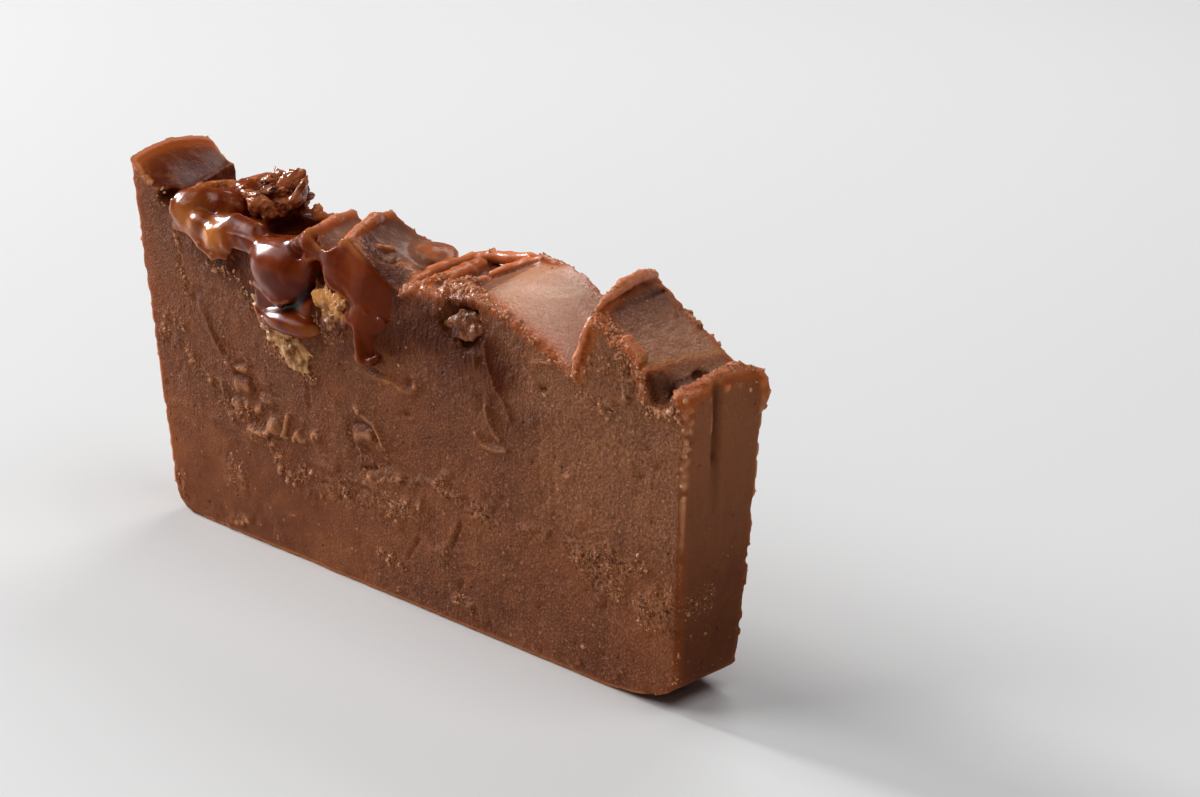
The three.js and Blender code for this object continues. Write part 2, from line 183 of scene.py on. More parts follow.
# What the knife left on the front face: each mark's height, half width and line. Minus is a groove or a pit.
FRONT_MARKS = [
    # the long crease where two folds of fudge met, running down from under the caramel
    (-0.35, 0.6, [(-61.5, 56.5), (-60, 52), (-58.4, 48.5), (-56.3, 45.6)]),
    (0.35, 0.6, [(-55.3, 45.5), (-54, 43.2), (-52.2, 40.6), (-51.2, 38.5), (-49.6, 36.6), (-47.6, 34.8)]),
    (0.35, 0.6, [(-47.6, 34.8), (-46.2, 34), (-45.5, 32), (-45, 30.4)]),
    (-0.3, 0.5, [(-53, 43.5), (-50.6, 39.6), (-48.6, 37)]),
    (-0.25, 0.35, [(-48.4, 41), (-48.5, 36.8)]),
    (-0.25, 0.35, [(-47, 40), (-47.1, 36)]),
    (-0.2, 0.35, [(-45.8, 40), (-45.9, 36.5)]),
    # curls of fudge pressed flat at its lower end
    (0.6, 1.3, [(-44.5, 31.6), (-42.2, 31.4)]),
    (-0.6, 0.45, [(-45.6, 33.4), (-43.4, 33.9), (-41.2, 33.3), (-40.3, 31.4)]),
    (0.5, 0.9, [(-44.4, 34.9), (-42, 35.2)]),
    (-0.6, 0.45, [(-45.2, 35.7), (-43, 36.4), (-40.4, 35.6)]),
    (-0.4, 0.8, [(-40.2, 33.6), (-38.8, 32.2), (-39.6, 30.4)]),
    (0.4, 1, [(-38.2, 33.8), (-35.8, 33)]),
    (0.45, 1.1, [(-37.6, 30.6), (-35.4, 30.4)]),
    (-0.35, 0.45, [(-38.6, 31.9), (-36.4, 32.2), (-34.2, 31.4)]),
    (0.3, 0.5, [(-43.6, 38.6), (-41.6, 36.8)]),
    # lumps that crumbled loose and were pressed back, in a row that falls to the right
    (0.7, 0.8, [(-45.6, 26.9), (-44.8, 27.6)]), (0.7, 0.7, [(-42.6, 28)]), (0.6, 0.6, [(-45.3, 25.3)]),
    (0.6, 0.7, [(-43.6, 25.2), (-42.4, 26.2)]), (-0.6, 0.5, [(-44, 24.5)]), (0.5, 0.6, [(-48.2, 24.6)]),
    (0.5, 0.6, [(-47.5, 23.6)]), (0.8, 0.8, [(-39.4, 27.6), (-38.2, 28.2)]),
    (-0.6, 1, [(-41, 25.6), (-38, 25.6)]), (1.2, 1.4, [(-35.6, 25.2), (-34.4, 26.4)]),
    (0.9, 0.9, [(-33.8, 25.4)]), (0.9, 0.7, [(-42.2, 23.2), (-40.4, 23.7), (-38.4, 23.3), (-36.6, 24)]),
    (0.9, 0.6, [(-32, 24.6), (-31, 26.4), (-30.2, 28.6)]),
    (0.8, 0.9, [(-28.8, 24.4), (-27.6, 25.8), (-26.8, 24.6)]), (0.5, 0.6, [(-25.6, 24.7)]),
    (0.6, 0.7, [(-36.2, 21.8), (-35, 21.9)]), (-0.8, 0.4, [(-36.4, 22.5)]), (0.6, 0.5, [(-36, 20.2)]),
    (0.6, 0.5, [(-34.8, 19.6)]), (0.6, 0.5, [(-33.4, 19.8)]), (0.7, 0.8, [(-33.4, 18), (-34, 16.8)]),
    (0.7, 0.6, [(-31.3, 16.2), (-31.6, 15.2)]), (0.5, 0.5, [(-30.4, 17.2)]), (0.7, 0.5, [(-29.3, 15.2)]),
    (0.5, 0.5, [(-28.8, 16.6)]), (0.4, 0.6, [(-26, 14.6)]), (0.3, 0.5, [(-24.4, 14.2)]),
    (0.4, 0.5, [(-22.4, 15)]), (0.6, 0.6, [(-23.4, 26.4), (-22.2, 27.5), (-21.6, 27)]),
    (0.3, 0.4, [(-26.2, 28.2)]), (0.35, 0.5, [(-57, 24)]), (-0.3, 0.4, [(-62.8, 31.4), (-63.4, 29.6)]),
    (-0.3, 0.4, [(-42.6, 17.8)]), (-0.3, 0.4, [(-34.4, 7)]), (0.35, 0.35, [(-31.6, 8.2), (-28.6, 8.9)]),
    (0.5, 0.6, [(-45, 3.6)]), (0.35, 0.5, [(-48.4, 1.9), (-46.2, 2.2)]),
    # the ledge that the knife left a third of the way up
    (0.28, 0.8, [(-66, 22.6), (-50, 22.4), (-40, 21.4), (-28, 22), (-20, 21.4), (-10, 20.8), (5, 20.4)]),
    (-0.2, 0.6, [(-28, 20.4), (-20, 20), (-10, 19.6), (4, 19.4)]),
    (0.35, 1.3, [(-8, 22.2), (-4, 22.4), (-1, 23)]),
    (0.3, 1.6, [(-23.6, 25), (-21.4, 22.6), (-18, 22.4)]),
    # a flap shaped like an ear, folded over a hollow
    (-0.45, 0.7, [(-13.2, 31.8), (-12.6, 28.6), (-11.2, 26.4)]),
    (0.55, 0.7, [(-11.2, 35.3), (-8, 33.9), (-6.2, 33.2), (-4.6, 31.4), (-3.4, 29.6)]),
    (-0.6, 0.5, [(-12, 31.8), (-9.4, 32.7), (-7, 32), (-5.4, 30.6)]),
    (0.6, 1.1, [(-10.6, 29.8), (-7.4, 30.6)]),
    (-0.8, 1.2, [(-8.4, 28), (-5.6, 26.9), (-3.4, 26.2)]),
    (0.4, 0.7, [(-5.4, 29.4), (-3.2, 27.8)]),
    (-0.8, 0.5, [(-9.8, 23.8), (-8, 24.5), (-6.6, 25)]),
    (0.4, 0.5, [(-11.6, 26.6)]),
    (-0.35, 0.4, [(-24.6, 37), (-24, 34.6), (-24.2, 32)]), (-0.35, 0.45, [(-21.8, 31)]),
    (0.4, 0.4, [(-18.6, 36.2), (-16.2, 35.3)]), (0.25, 0.5, [(-19, 40.2)]),
    # scratches from a crumb dragged down by the knife
    (-0.45, 0.4, [(15.5, 20), (14.4, 17.5), (13.4, 15)]), (0.3, 0.4, [(14.7, 20.2), (13.5, 17.2)]),
    (-0.45, 0.45, [(4.2, 13.7), (3, 11.6), (1.6, 9.6)]), (-0.4, 0.45, [(16, 8.8), (14.6, 7.2)]),
    (0.4, 0.5, [(5.8, 22.4), (5.2, 20.8)]), (0.35, 0.5, [(5.6, 19.6)]), (0.4, 0.8, [(-2, 14.8),
                                                                                    (-0.6, 14.6)]),
    (0.45, 0.45, [(-6, 8.6)]), (0.45, 0.45, [(-3.2, 8.2)]), (0.45, 0.45, [(-1.4, 7.3)]),
    (0.4, 0.7, [(0.2, 24.8)]), (0.5, 0.5, [(4.6, 25.1)]), (0.5, 0.45, [(9.8, 26.3)]),
    (0.5, 0.5, [(13.4, 28.6)]),
    (-0.6, 0.5, [(2, 37.4), (3.2, 37.6)]), (-0.35, 0.35, [(9, 34.5)]), (-0.35, 0.35, [(2.8, 30.5)]),
    (-0.45, 0.4, [(-2.6, 41)]), (-0.45, 0.4, [(22.2, 11)]), (-0.35, 0.35, [(24.2, 9.6)]),
    # the roll of soft fudge pushed up below the caramel's drip
    (0.4, 0.9, [(-9.6, 42.7), (-7, 42.9), (-4, 42.6), (-1, 42.6), (2.5, 41.8), (4.4, 41.9), (5.4, 43.2)]),
    (0.3, 0.6, [(5.4, 43.4), (5.2, 44.8)]), (-0.4, 0.45, [(-8, 44.2), (-5, 44.1), (-2, 43.9),
                                                          (1.5, 43.2), (4, 43)]),
    (-0.6, 0.55, [(3.2, 43.6), (4.1, 44.3)]),
    # the arcs that the knife drew through the softest part
    (0.5, 0.42, [(23.8, 55.6), (24.4, 53), (25, 51.2), (26.4, 48), (27.8, 46), (29.4, 43)]),
    (0.55, 0.45, [(23.6, 44.6), (24.2, 41.8), (25.2, 40), (26.8, 38.8)]), (-0.3, 0.7, [(22.4, 46),
                                                                                       (22.4, 43)]),
    (0.45, 0.42, [(21, 53.4), (21.5, 51)]), (-0.25, 0.9, [(28, 40), (26, 43), (26, 46)]),
    (0.45, 0.5, [(20.6, 38.8), (22.4, 36.8), (25, 36.2), (28.6, 37.4)]), (-0.3, 0.9, [(24, 37.8), (27, 38)]),
    (-0.25, 1.6, [(25, 56), (30, 54.6), (33.5, 52)]), (0.4, 0.45, [(33.4, 53.6), (35.4, 52.4)]),
    (0.4, 0.35, [(35.6, 55), (37.6, 55.6), (39.6, 56.3)]), (-0.6, 0.5, [(45.6, 57.6), (45, 54.7)]),
    (-0.12, 0.5, [(36.4, 46), (36.6, 30)]), (-0.1, 0.5, [(39.6, 44), (39.8, 29)]),
    (-0.1, 0.5, [(42.6, 44), (42.8, 33)]), (-0.12, 0.4, [(58.8, 42), (59, 36)]),
    # pits and specks of the sandy end
    (-0.7, 0.45, [(37.6, 50.8), (38.4, 50.9)]), (-0.45, 0.4, [(35, 36.8)]), (-0.4, 0.45, [(59.4, 41.1),
                                                                                          (60.6, 41.4)]),
    (-0.4, 0.4, [(63.8, 43.4), (64.8, 44.2)]), (-0.35, 0.4, [(67.6, 44)]), (-0.3, 0.4, [(55, 42.6)]),
    (-0.3, 0.35, [(48.7, 42.2)]), (0.45, 0.5, [(42.8, 36.2), (44, 36.6)]), (0.5, 0.7, [(28.6, 27.2)]),
    (0.35, 0.5, [(31.5, 24), (34.5, 24.6)]), (0.4, 0.4, [(53, 52.1), (54.6, 51.9)]),
    (-0.5, 0.4, [(56.2, 55.2)]),
    (0.5, 0.6, [(57.2, 54.4)]), (-0.5, 0.4, [(57.6, 60), (57.8, 58)]), (-0.35, 0.4, [(54, 51.4)]),
    (0.35, 0.35, [(45.4, 5.9), (47.2, 5.6), (49, 5.4)]), (0.35, 0.35, [(56.8, 3.9), (59, 3.4), (60.4, 3.1)]),
    (-0.4, 0.45, [(51.6, 15.8), (51, 14.4)]), (-0.35, 0.4, [(62, 13.2), (61.6, 12)]),
    (0.45, 0.6, [(44.4, 2.6)]),
    (0.45, 0.6, [(54.6, 4.3)]), (-0.3, 0.4, [(58.8, 11.4), (59.8, 11.4)]), (-0.3, 0.35, [(52, 10.6)]),
    (-0.3, 0.4, [(35, 10.2)]),
]

# Where the face broke into crumbs when it was cut: how crumbly, half width and line.
FRONT_CRUMBS = [
    (0.7, 1.4, [(-66, 37), (-61.5, 35.3), (-57.5, 33.6)]), (0.6, 1.2, [(-57, 33), (-52, 30.4), (-49, 28)]),
    (0.5, 1.4, [(-64.5, 40), (-62, 39.6)]), (0.9, 1.9, [(-47.5, 25.5), (-42.5, 26.5)]),
    (0.7, 1.6, [(-41, 24), (-34, 24)]), (0.7, 1.6, [(-36, 21), (-32, 17.5), (-29, 16)]),
    (0.5, 3, [(-49, 12.5), (-45.5, 11)]), (0.65, 2.2, [(-26, 18), (-15, 17.5), (-5, 18), (4, 19)]),
    (0.8, 1, [(-9, 22.6), (-3, 23.6), (0, 25), (5, 25.2), (9, 26.2), (13.4, 28.4)]),
    (0.8, 1.4, [(11, 25.4), (16, 25), (18.5, 24.2)]), (1, 1.8, [(19.5, 24.4), (24, 23.6)]),
    (0.6, 2, [(31, 23.5), (37, 23.6)]), (1, 2.6, [(45.5, 24), (49, 22), (52.5, 23.5)]),
    (0.9, 1.4, [(55, 24), (60, 25)]), (0.9, 1.8, [(48.5, 19), (54, 18.3)]), (0.9, 2.6, [(61.5, 18),
                                                                                        (66, 20)]),
    (0.6, 1.6, [(61, 15.5), (67, 15.6)]), (0.4, 2, [(-65.5, 3), (-66, 7)]), (0.6, 1, [(-51, 1.5), (-46, 3)]),
    (0.5, 1.2, [(14, 4.6), (19, 4.4)]), (0.5, 1.1, [(-6, 8.2), (0, 7.4)]), (0.5, 1.4, [(8, 13), (11, 13)]),
    (0.6, 1.4, [(-36, 42), (-29, 39.4), (-23, 38.4)]), (0.9, 1.2, [(-52, 54), (-45, 54.6), (-42, 57)]),
    (0.8, 1.1, [(-44, 50.6), (-40, 50), (-37.6, 47)]), (0.5, 0.8, [(-61.6, 59), (-61, 53), (-58, 47)]),
    (0.7, 1, [(48, 50.6), (52, 51.2), (57.6, 54.6)]), (0.8, 1.4, [(57, 60), (62, 54), (69, 54.6)]),
    (0.5, 3, [(47, 55), (52, 58)]),
]

x_face, z_face = xs[:, None], zs[None, :]
drift_x = noise(x_face, 0, z_face, 3.1, 5) * 0.8
drift_z = noise(x_face, 9, z_face, 3.1, 6) * 0.8


def patches(x, z, marks):
    """How far each place lies inside a list of patches, from 0 to their own strength."""
    total = np.zeros(np.broadcast(x, z).shape)
    for strength, wide, path in marks:
        total = np.maximum(total, strength * np.clip(1.5 - away(x, z, path) / wide, 0, 1))
    return total


def scatter(x, z, count, tallest, widest, seed):
    """Random small bumps and pits over a face."""
    draw = np.random.default_rng(seed)
    height = np.zeros(np.broadcast(x, z).shape)
    for _ in range(count):
        px, pz = draw.uniform(-72, 70), draw.uniform(1, 62)
        tall, wide = draw.uniform(-1, 1) * tallest, draw.uniform(0.4, 1) * widest
        near_x = np.abs(x[:, 0] - px) < 3 * widest
        near_z = np.abs(z[0] - pz) < 3 * widest
        spot = np.ix_(near_x, near_z)
        height[spot] += tall * np.exp(-((x[near_x] - px) ** 2 + (z[:, near_z] - pz) ** 2) / wide ** 2)
    return height


SPECKS = 420  # on each cut face


def crumbled(x, z, depth, crumbs, seed):
    """The ragged height of a face where it broke into crumbs about a millimetre across."""
    lumps_between = np.abs(noise(x, depth, z, 1.1, seed + 7))
    return crumbs * (0.55 * rough(x, depth, z, 1.9, seed) + 0.3 * lumps_between - 0.05)


front_crumbs = patches(x_face + drift_x * 1.6, z_face + drift_z * 1.6, FRONT_CRUMBS)
front_relief = strokes(x_face + drift_x * 0.5, z_face + drift_z * 0.5, FRONT_MARKS)
finer_end = np.where(x_face > 20, 0.65, 1)
front_relief += crumbled(x_face, z_face, 0, front_crumbs, 13) * finer_end
front_relief += 0.1 * rough(x_face, 0, z_face, 7, 11) + 0.05 * noise(x_face, 0, z_face, 1.7, 12)
front_relief += scatter(x_face, z_face, SPECKS, 0.3, 0.6, 14)

# The back face was cut by the same knife, so it has the same kinds of marks in places of its own.
BACK_CRUMBS = [
    (0.9, 1.6, [(-60, 21), (-52, 24), (-46, 22.6)]), (0.7, 2.2, [(-30, 24), (-24, 25)]),
    (0.9, 2.4, [(8, 19), (15, 22), (20, 20.5)]), (0.6, 1.8, [(28, 23), (36, 21)]), (1, 1.4, [(44, 25),
                                                                                             (56, 29)]),
    (0.6, 2.6, [(-10, 40), (-3, 43)]), (0.7, 1.4, [(-68, 48), (-63, 40)]), (0.6, 1.2, [(20, 3), (27, 4)]),
    (0.8, 1.6, [(40, 58), (46, 56)]), (0.7, 1.4, [(-56, 60), (-48, 58)]), (0.5, 1.2, [(-40, 4), (-34, 3)]),
]
BACK_MARKS = [
    (-0.4, 0.6, [(-30, 55), (-27, 47), (-22, 41), (-16, 36)]), (0.35, 0.6, [(-29, 52), (-25.6, 44.6),
                                                                            (-20, 38.4)]),
    (0.28, 0.9, [(-68, 23), (-40, 22), (-10, 21.4), (20, 22), (66, 20.6)]), (-0.2, 0.6, [(-60, 20.6),
                                                                                         (0, 19.6)]),
    (0.6, 1.2, [(30, 37), (34, 37.6)]), (-0.6, 0.5, [(28.6, 38.6), (32, 39.8), (36, 38.6)]),
    (0.5, 1.1, [(33, 33.6), (37, 33)]), (-0.45, 0.5, [(31.6, 35.2), (35.6, 35.4), (38.6, 33.6)]),
    (-0.5, 0.5, [(-45, 33), (-43, 28.6)]), (-0.4, 0.45, [(2, 14), (4, 10)]), (-0.5, 0.45, [(50, 12),
                                                                                           (53, 8.6)]),
    (0.35, 0.5, [(54, 52), (58, 47), (60, 41)]), (-0.3, 0.8, [(8, 54), (12, 50), (13, 45)]),
    (0.7, 0.9, [(-18, 27), (-16, 28.6)]), (0.7, 0.8, [(-12.6, 25.8)]), (0.6, 0.7, [(-8, 24.6), (-6, 25.4)]),
    (-0.12, 0.5, [(20, 48), (20.4, 32)]), (-0.1, 0.5, [(23, 50), (23.4, 36)]), (-0.6, 0.5, [(-3, 9),
                                                                                            (-1.6, 9.4)]),
]
back_crumbs = patches(x_face + drift_z * 1.6, z_face + drift_x * 1.6, BACK_CRUMBS)
back_relief = strokes(x_face + drift_z * 0.5, z_face + drift_x * 0.5, BACK_MARKS)
back_relief += crumbled(x_face, z_face, 40, back_crumbs, 23)
back_relief += 0.1 * rough(x_face, 40, z_face, 7, 21) + 0.05 * noise(x_face, 40, z_face, 1.7, 22)
back_relief += scatter(x_face, z_face, SPECKS, 0.3, 0.6, 24)

# The ends were cast against the tin, so they are smoother. The right-hand one has a drag line down it.
y_end, z_end = ys[:, None], zs[None, :]
RIGHT_MARKS = [
    (-0.8, 1.1, [(-2.6, 58), (-2.1, 52), (-1.6, 45)]), (-0.3, 0.9, [(-1.6, 45), (-1.5, 36)]),
    (0.3, 0.6, [(-3.6, 56), (-3.2, 50)]), (-0.3, 0.4, [(3, 17), (4, 18)]), (-0.2, 0.5, [(1, 40), (1.4, 30)]),
    (-0.15, 0.5, [(6, 44), (6.4, 25)]),
]
RIGHT_CRUMBS = [(1, 1.2, [(-9.6, 56), (-8.8, 51), (-8.6, 47)]), (0.8, 1, [(-1.4, 56.6), (2.4, 57)]),
                (0.35, 0.9, [(9.4, 54), (9.6, 48), (9.6, 40)])]
right_crumbs = patches(y_end, z_end, RIGHT_CRUMBS)
right_relief = strokes(y_end, z_end, RIGHT_MARKS) + crumbled(y_end, z_end, 80, right_crumbs, 33)
right_relief += 0.08 * rough(y_end, 80, z_end, 6, 31) + 0.05 * noise(y_end * 2.5, 80, z_end / 3, 2, 32)
LEFT_CRUMBS = [(0.4, 1.2, [(-9.6, 4), (-8, 12)]), (0.7, 1.4, [(8, 30), (6, 37)])]
left_crumbs = patches(y_end, z_end, LEFT_CRUMBS)
left_relief = 0.12 * rough(y_end, 60, z_end, 6, 41) + crumbled(y_end, z_end, 60, left_crumbs, 43)

X, Y, Z = np.meshgrid(*axes, indexing="ij", sparse=True)
front = -Y - half - front_relief[:, None, :]
back = Y - half - back_relief[:, None, :]
left = -X - BASE_LENGTH / 2 - 0.5 - LEFT_DRAFT * Z - left_relief[None]
right = X - BASE_LENGTH / 2 - RIGHT_DRAFT * Z - right_relief[None]

# The bottom lay flat on the tin. The left corner is rounded and the right one is worn away in a curve.
WORN_FROM = (50, 0)
WORN_BY = (66, 0.8)
WORN_TO = (67.45, 6.5)
bend = np.linspace(0, 1, 20)
worn_x, worn_z = (2 * bend * (1 - bend) * by + (1 - bend) ** 2 * start + bend ** 2 * end
                  for start, by, end in zip(WORN_FROM, WORN_BY, WORN_TO))
under = np.interp(xs, worn_x, worn_z)
under_steep = np.sqrt(1 + np.minimum(np.gradient(under, xs) ** 2, STEEPEST ** 2))
bottom = (under[:, None, None] - Z) / under_steep[:, None, None]

# The set skin is faintly wrinkled, and dimpled on the last big swirl.
x_top, y_top = xs[:, None], ys[None, :]
wrinkles = 0.04 * noise(x_top, y_top, 0, 1.5, 51) + 0.1 * noise(x_top, y_top, 0, 4.5, 52)
dimples = 0.34 * noise(x_top, y_top, 0, 1.4, 53) * np.clip(1.5 - np.abs(x_top - 56.4) / 5, 0, 1)
roof = (Z - (top + wrinkles + dimples)[:, :, None]) / steep[:, :, None]

sides = soft_max(soft_max(left, bottom, LEFT_CORNER), right, RIGHT_CORNER)
faces = soft_max(front, back, 0.5)
rims = soft_max(sides, roof, CUT_EDGE)
slab = soft_max(faces, rims, CUT_EDGE).astype(np.float32)

# A cut edge is ragged, because small crumbs break out of it. The left and the bottom edges broke less.
front_chips = rough(x_face, 0, z_face, 1.5, 61, 3)
back_chips = rough(x_face, 30, z_face, 1.5, 65, 3)
chips = np.where(Y < 0, front_chips[:, None, :], back_chips[:, None, :])
on_edge = np.exp(-(faces ** 2 + rims ** 2) / 0.9 ** 2)
chipping = np.clip((X + 64) / 8, 0.55, 1) * np.clip(Z / 4, 0.1, 1)
slab += (on_edge * (0.1 + 0.55 * chipping * np.clip(chips, -0.3, 0.9))).astype(np.float32)


def local(axes, low, high):
    """The part of the grid between two corners: its slices and its x, y and z."""
    window = tuple(slice(*np.searchsorted(line, (a, b))) for line, a, b in zip(axes, low, high))
    return window, np.meshgrid(*(line[w] for line, w in zip(axes, window)), indexing="ij", sparse=True)


def roll(field, axes, line, blend, carve=False, ragged=0, seed=0):
    """Adds a roll of fudge along a line of x, y, z and radius, or carves one away."""
    line = np.array(line, float)
    reach = line[:, 3].max() + 2 * blend + ragged + 1
    window, (x, y, z) = local(axes, line[:, :3].min(0) - reach, line[:, :3].max(0) + reach)
    nearest = None
    for a, b in zip(line[:-1], line[1:]) if len(line) > 1 else [(line[0], line[0] + (0, 0, 0.01, 0))]:
        d = b - a
        along = ((x - a[0]) * d[0] + (y - a[1]) * d[1] + (z - a[2]) * d[2]) / (d[:3] @ d[:3])
        along = np.clip(along, 0, 1)
        squared = sum((p - q - along * r) ** 2 for p, q, r in zip((x, y, z), a, d))
        gap = np.sqrt(squared) - a[3] - along * d[3]
        nearest = gap if nearest is None else soft_min(nearest, gap, 0.5)
    if ragged:
        nearest = nearest - ragged * rough(x, y, z, 2, seed)
    if carve:
        field[window] = soft_max(field[window], -nearest, blend)
    else:
        field[window] = soft_min(field[window], nearest, blend)


def egg(field, axes, centre, radii, blend, carve=False, ragged=0, seed=0):
    """Adds an egg-shaped lump, or carves one away."""
    centre = np.array(centre, float)
    radii = np.array(radii, float)
    reach = radii + 2 * blend + ragged + 1
    window, (x, y, z) = local(axes, centre - reach, centre + reach)
    u, v, w = x - centre[0], y - centre[1], z - centre[2]
    k = np.sqrt((u / radii[0]) ** 2 + (v / radii[1]) ** 2 + (w / radii[2]) ** 2) + 1e-6
    a, b, c = radii ** 2
    gap = k * (k - 1) / np.sqrt((u / a) ** 2 + (v / b) ** 2 + (w / c) ** 2 + 1e-6)
    if ragged:
        gap = gap - ragged * rough(x, y, z, 2, seed)
    if carve:
        field[window] = soft_max(field[window], -gap, blend)
    else:
        field[window] = soft_min(field[window], gap, blend)


def chip(field, axes, centre, halves, tilt, blend):
    """Adds a straight-sided chip, tilted by so many degrees in the plane of the front face."""
    centre = np.array(centre, float)
    reach = np.full(3, max(halves) + 2 * blend + 1)
    window, (x, y, z) = local(axes, centre - reach, centre + reach)
    c, s = math.cos(math.radians(tilt)), math.sin(math.radians(tilt))
    u = (x - centre[0]) * c + (z - centre[2]) * s
    w = (z - centre[2]) * c - (x - centre[0]) * s
    sides_of = [np.abs(u) - halves[0], np.abs(y - centre[1]) - halves[1], np.abs(w) - halves[2]]
    gap = soft_max(soft_max(sides_of[0], sides_of[1], 0.4), sides_of[2], 0.4)
    field[window] = soft_min(field[window], gap - 0.12 * rough(x, y, z, 1.5, 68), blend)


# Hollows: under the block at the left, beside the pecan half, between the rolls at the foot of the third
# swirl, and the bite out of the front edge by the right-hand rim.
egg(slab, axes, (-63.4, -9.6, 64.6), (2.6, 4, 1.5), 0.5, carve=True, ragged=0.3, seed=71)
egg(slab, axes, (-38.6, 1, 61.4), (5.4, 6.2, 5.6), 0.8, carve=True)
egg(slab, axes, (11.2, 6.6, 63.2), (2.4, 3.6, 1.9), 0.4, carve=True)
egg(slab, axes, (2.4, -1.6, 61.6), (1.4, 4.6, 1.3), 0.4, carve=True)
egg(slab, axes, (63.6, -10.2, 57.2), (2.4, 5, 3.4), 0.3, carve=True, ragged=0.5, seed=72)
roll(slab, axes, [(65.4, -10.2, 55.4, 1.4), (67.2, -9.8, 56.2, 1.2)], 0.3, carve=True, ragged=0.4, seed=70)

# Beds for the caramel and for the pecans in the front face.
roll(slab, axes, [(-36, -10.6, 51.7, 1), (-31, -10.7, 51, 1.5), (-26, -10.6, 52.4, 1.8),
                  (-23, -10.5, 56, 1.6), (-21.4, -10.4, 60, 1)], 0.5, carve=True)
roll(slab, axes, [(-55, -10.4, 57.6, 0.5), (-51.4, -10.4, 55.2, 1),
                  (-48.4, -10.3, 54.4, 0.7)], 0.4, carve=True)
egg(slab, axes, (-18.6, -10.8, 59.6), (3.8, 4, 2.8), 0.5, carve=True, ragged=0.3, seed=74)
egg(slab, axes, (-22, -10.4, 55.6), (1.6, 2.8, 3.4), 0.5, carve=True, ragged=0.2, seed=75)
egg(slab, axes, (18.6, -10.6, 57.6), (6.4, 2.9, 4.6), 0.6, carve=True, ragged=0.9, seed=77)

# Lips: the palette knife left each swirl's crest as a rolled edge, thin at its ends. Blend, then its line.
LIPS = [
    (0.5, [(50.9, -9.9, 68, 0.3), (50.2, -6, 68.8, 0.5), (49.2, -1, 69.7, 0.8), (47.8, 4, 69.7, 0.9),
           (46.2, 8.8, 68.6, 0.7)]),
    (0.6, [(50.4, -8.4, 68.8, 0.3), (48.8, -2, 70.3, 0.5), (47.2, 4, 70.3, 0.5), (45.8, 8.6, 69.1, 0.4)]),
    (0.6, [(-10.6, -9.7, 67, 0.9), (-13, -5, 67.4, 1.1), (-16, 1, 67.6, 1.2), (-20, 8.6, 65.8, 1)]),
    (0.6, [(-21.2, -9.4, 66, 0.8), (-26, 0, 65.6, 1), (-31, 8.8, 64, 0.9)]),
    (0.4, [(3.8, -9.6, 60.2, 1), (1.8, -5, 61, 1), (0.4, 0, 61.2, 1.2), (0.8, 4.6, 61.5, 1.4),
           (2.8, 7.6, 62.4, 1.4), (6.4, 9, 63.4, 1.3), (11, 9.3, 64.2, 1.1), (15.6, 9.4, 65, 1),
           (20, 9.2, 65.6, 0.8)]),
    (0.5, [(5, -9.4, 60.8, 1.1), (7.6, -7.4, 62, 1.3), (9.4, -4, 62.8, 1.5), (8.4, 1, 62.8, 1.8),
           (6.8, 5.4, 62.6, 1.7)]),
    (0.5, [(12.4, -8.8, 61.8, 1.2), (14, -7.6, 62.8, 1.5), (17, -7.2, 63.2, 1.6), (20.4, -8, 63.4, 1.2),
           (23.4, -8.8, 63, 0.8)]),
    (0.6, [(13.4, -7, 62.8, 1.2), (13.8, -3.4, 62.8, 1.3), (14.6, -0.4, 62.8, 0.9)]),
    (0.3, [(12.6, 3.4, 62.8, 0.8), (14.4, 5.4, 63.6, 1.1), (17, 7.2, 64.8, 1.2), (20, 8.2, 65.8, 1),
           (23, 8.6, 66, 0.5)]),
    (0.5, [(68.8, -9.4, 57.4, 0.9), (69.1, -3.6, 58, 1.2), (69.1, 3, 58.6, 1.4), (69.3, 6.8, 57.2, 1.2),
           (69.5, 8.6, 55, 0.9)]),
    (0.4, [(49.2, -9.5, 65.6, 0.7), (48, -9.7, 62.4, 0.7), (46.6, -9.7, 58.8, 0.8),
           (45.4, -9.6, 55.2, 0.5)]),
]
for n, (blend, line) in enumerate(LIPS):
    roll(slab, axes, line, blend, ragged=0.18, seed=150 + n)

# Seams under the curls, a hole by the right-hand rim, and a chip that stands in the broken edge.
roll(slab, axes, [(13.8, 2.4, 63, 0.3), (17, 4.4, 64.4, 0.4), (20.6, 6, 65.5, 0.35),
                  (23.4, 6.8, 65.7, 0.2)], 0.3, carve=True)
roll(slab, axes, [(51.8, -8.6, 67, 0.3), (51.6, -4, 67.2, 0.5), (51.2, 0, 67.2, 0.6),
                  (49.8, 5, 66.8, 0.5), (48.4, 8.8, 66.4, 0.3)], 0.3, carve=True)
egg(slab, axes, (63.9, 0.6, 57), (1.1, 1.5, 0.9), 0.3, carve=True, ragged=0.2, seed=73)
chip(slab, axes, (58.7, -9.3, 62.6), (2.7, 1, 1.1), -38, 0.15)

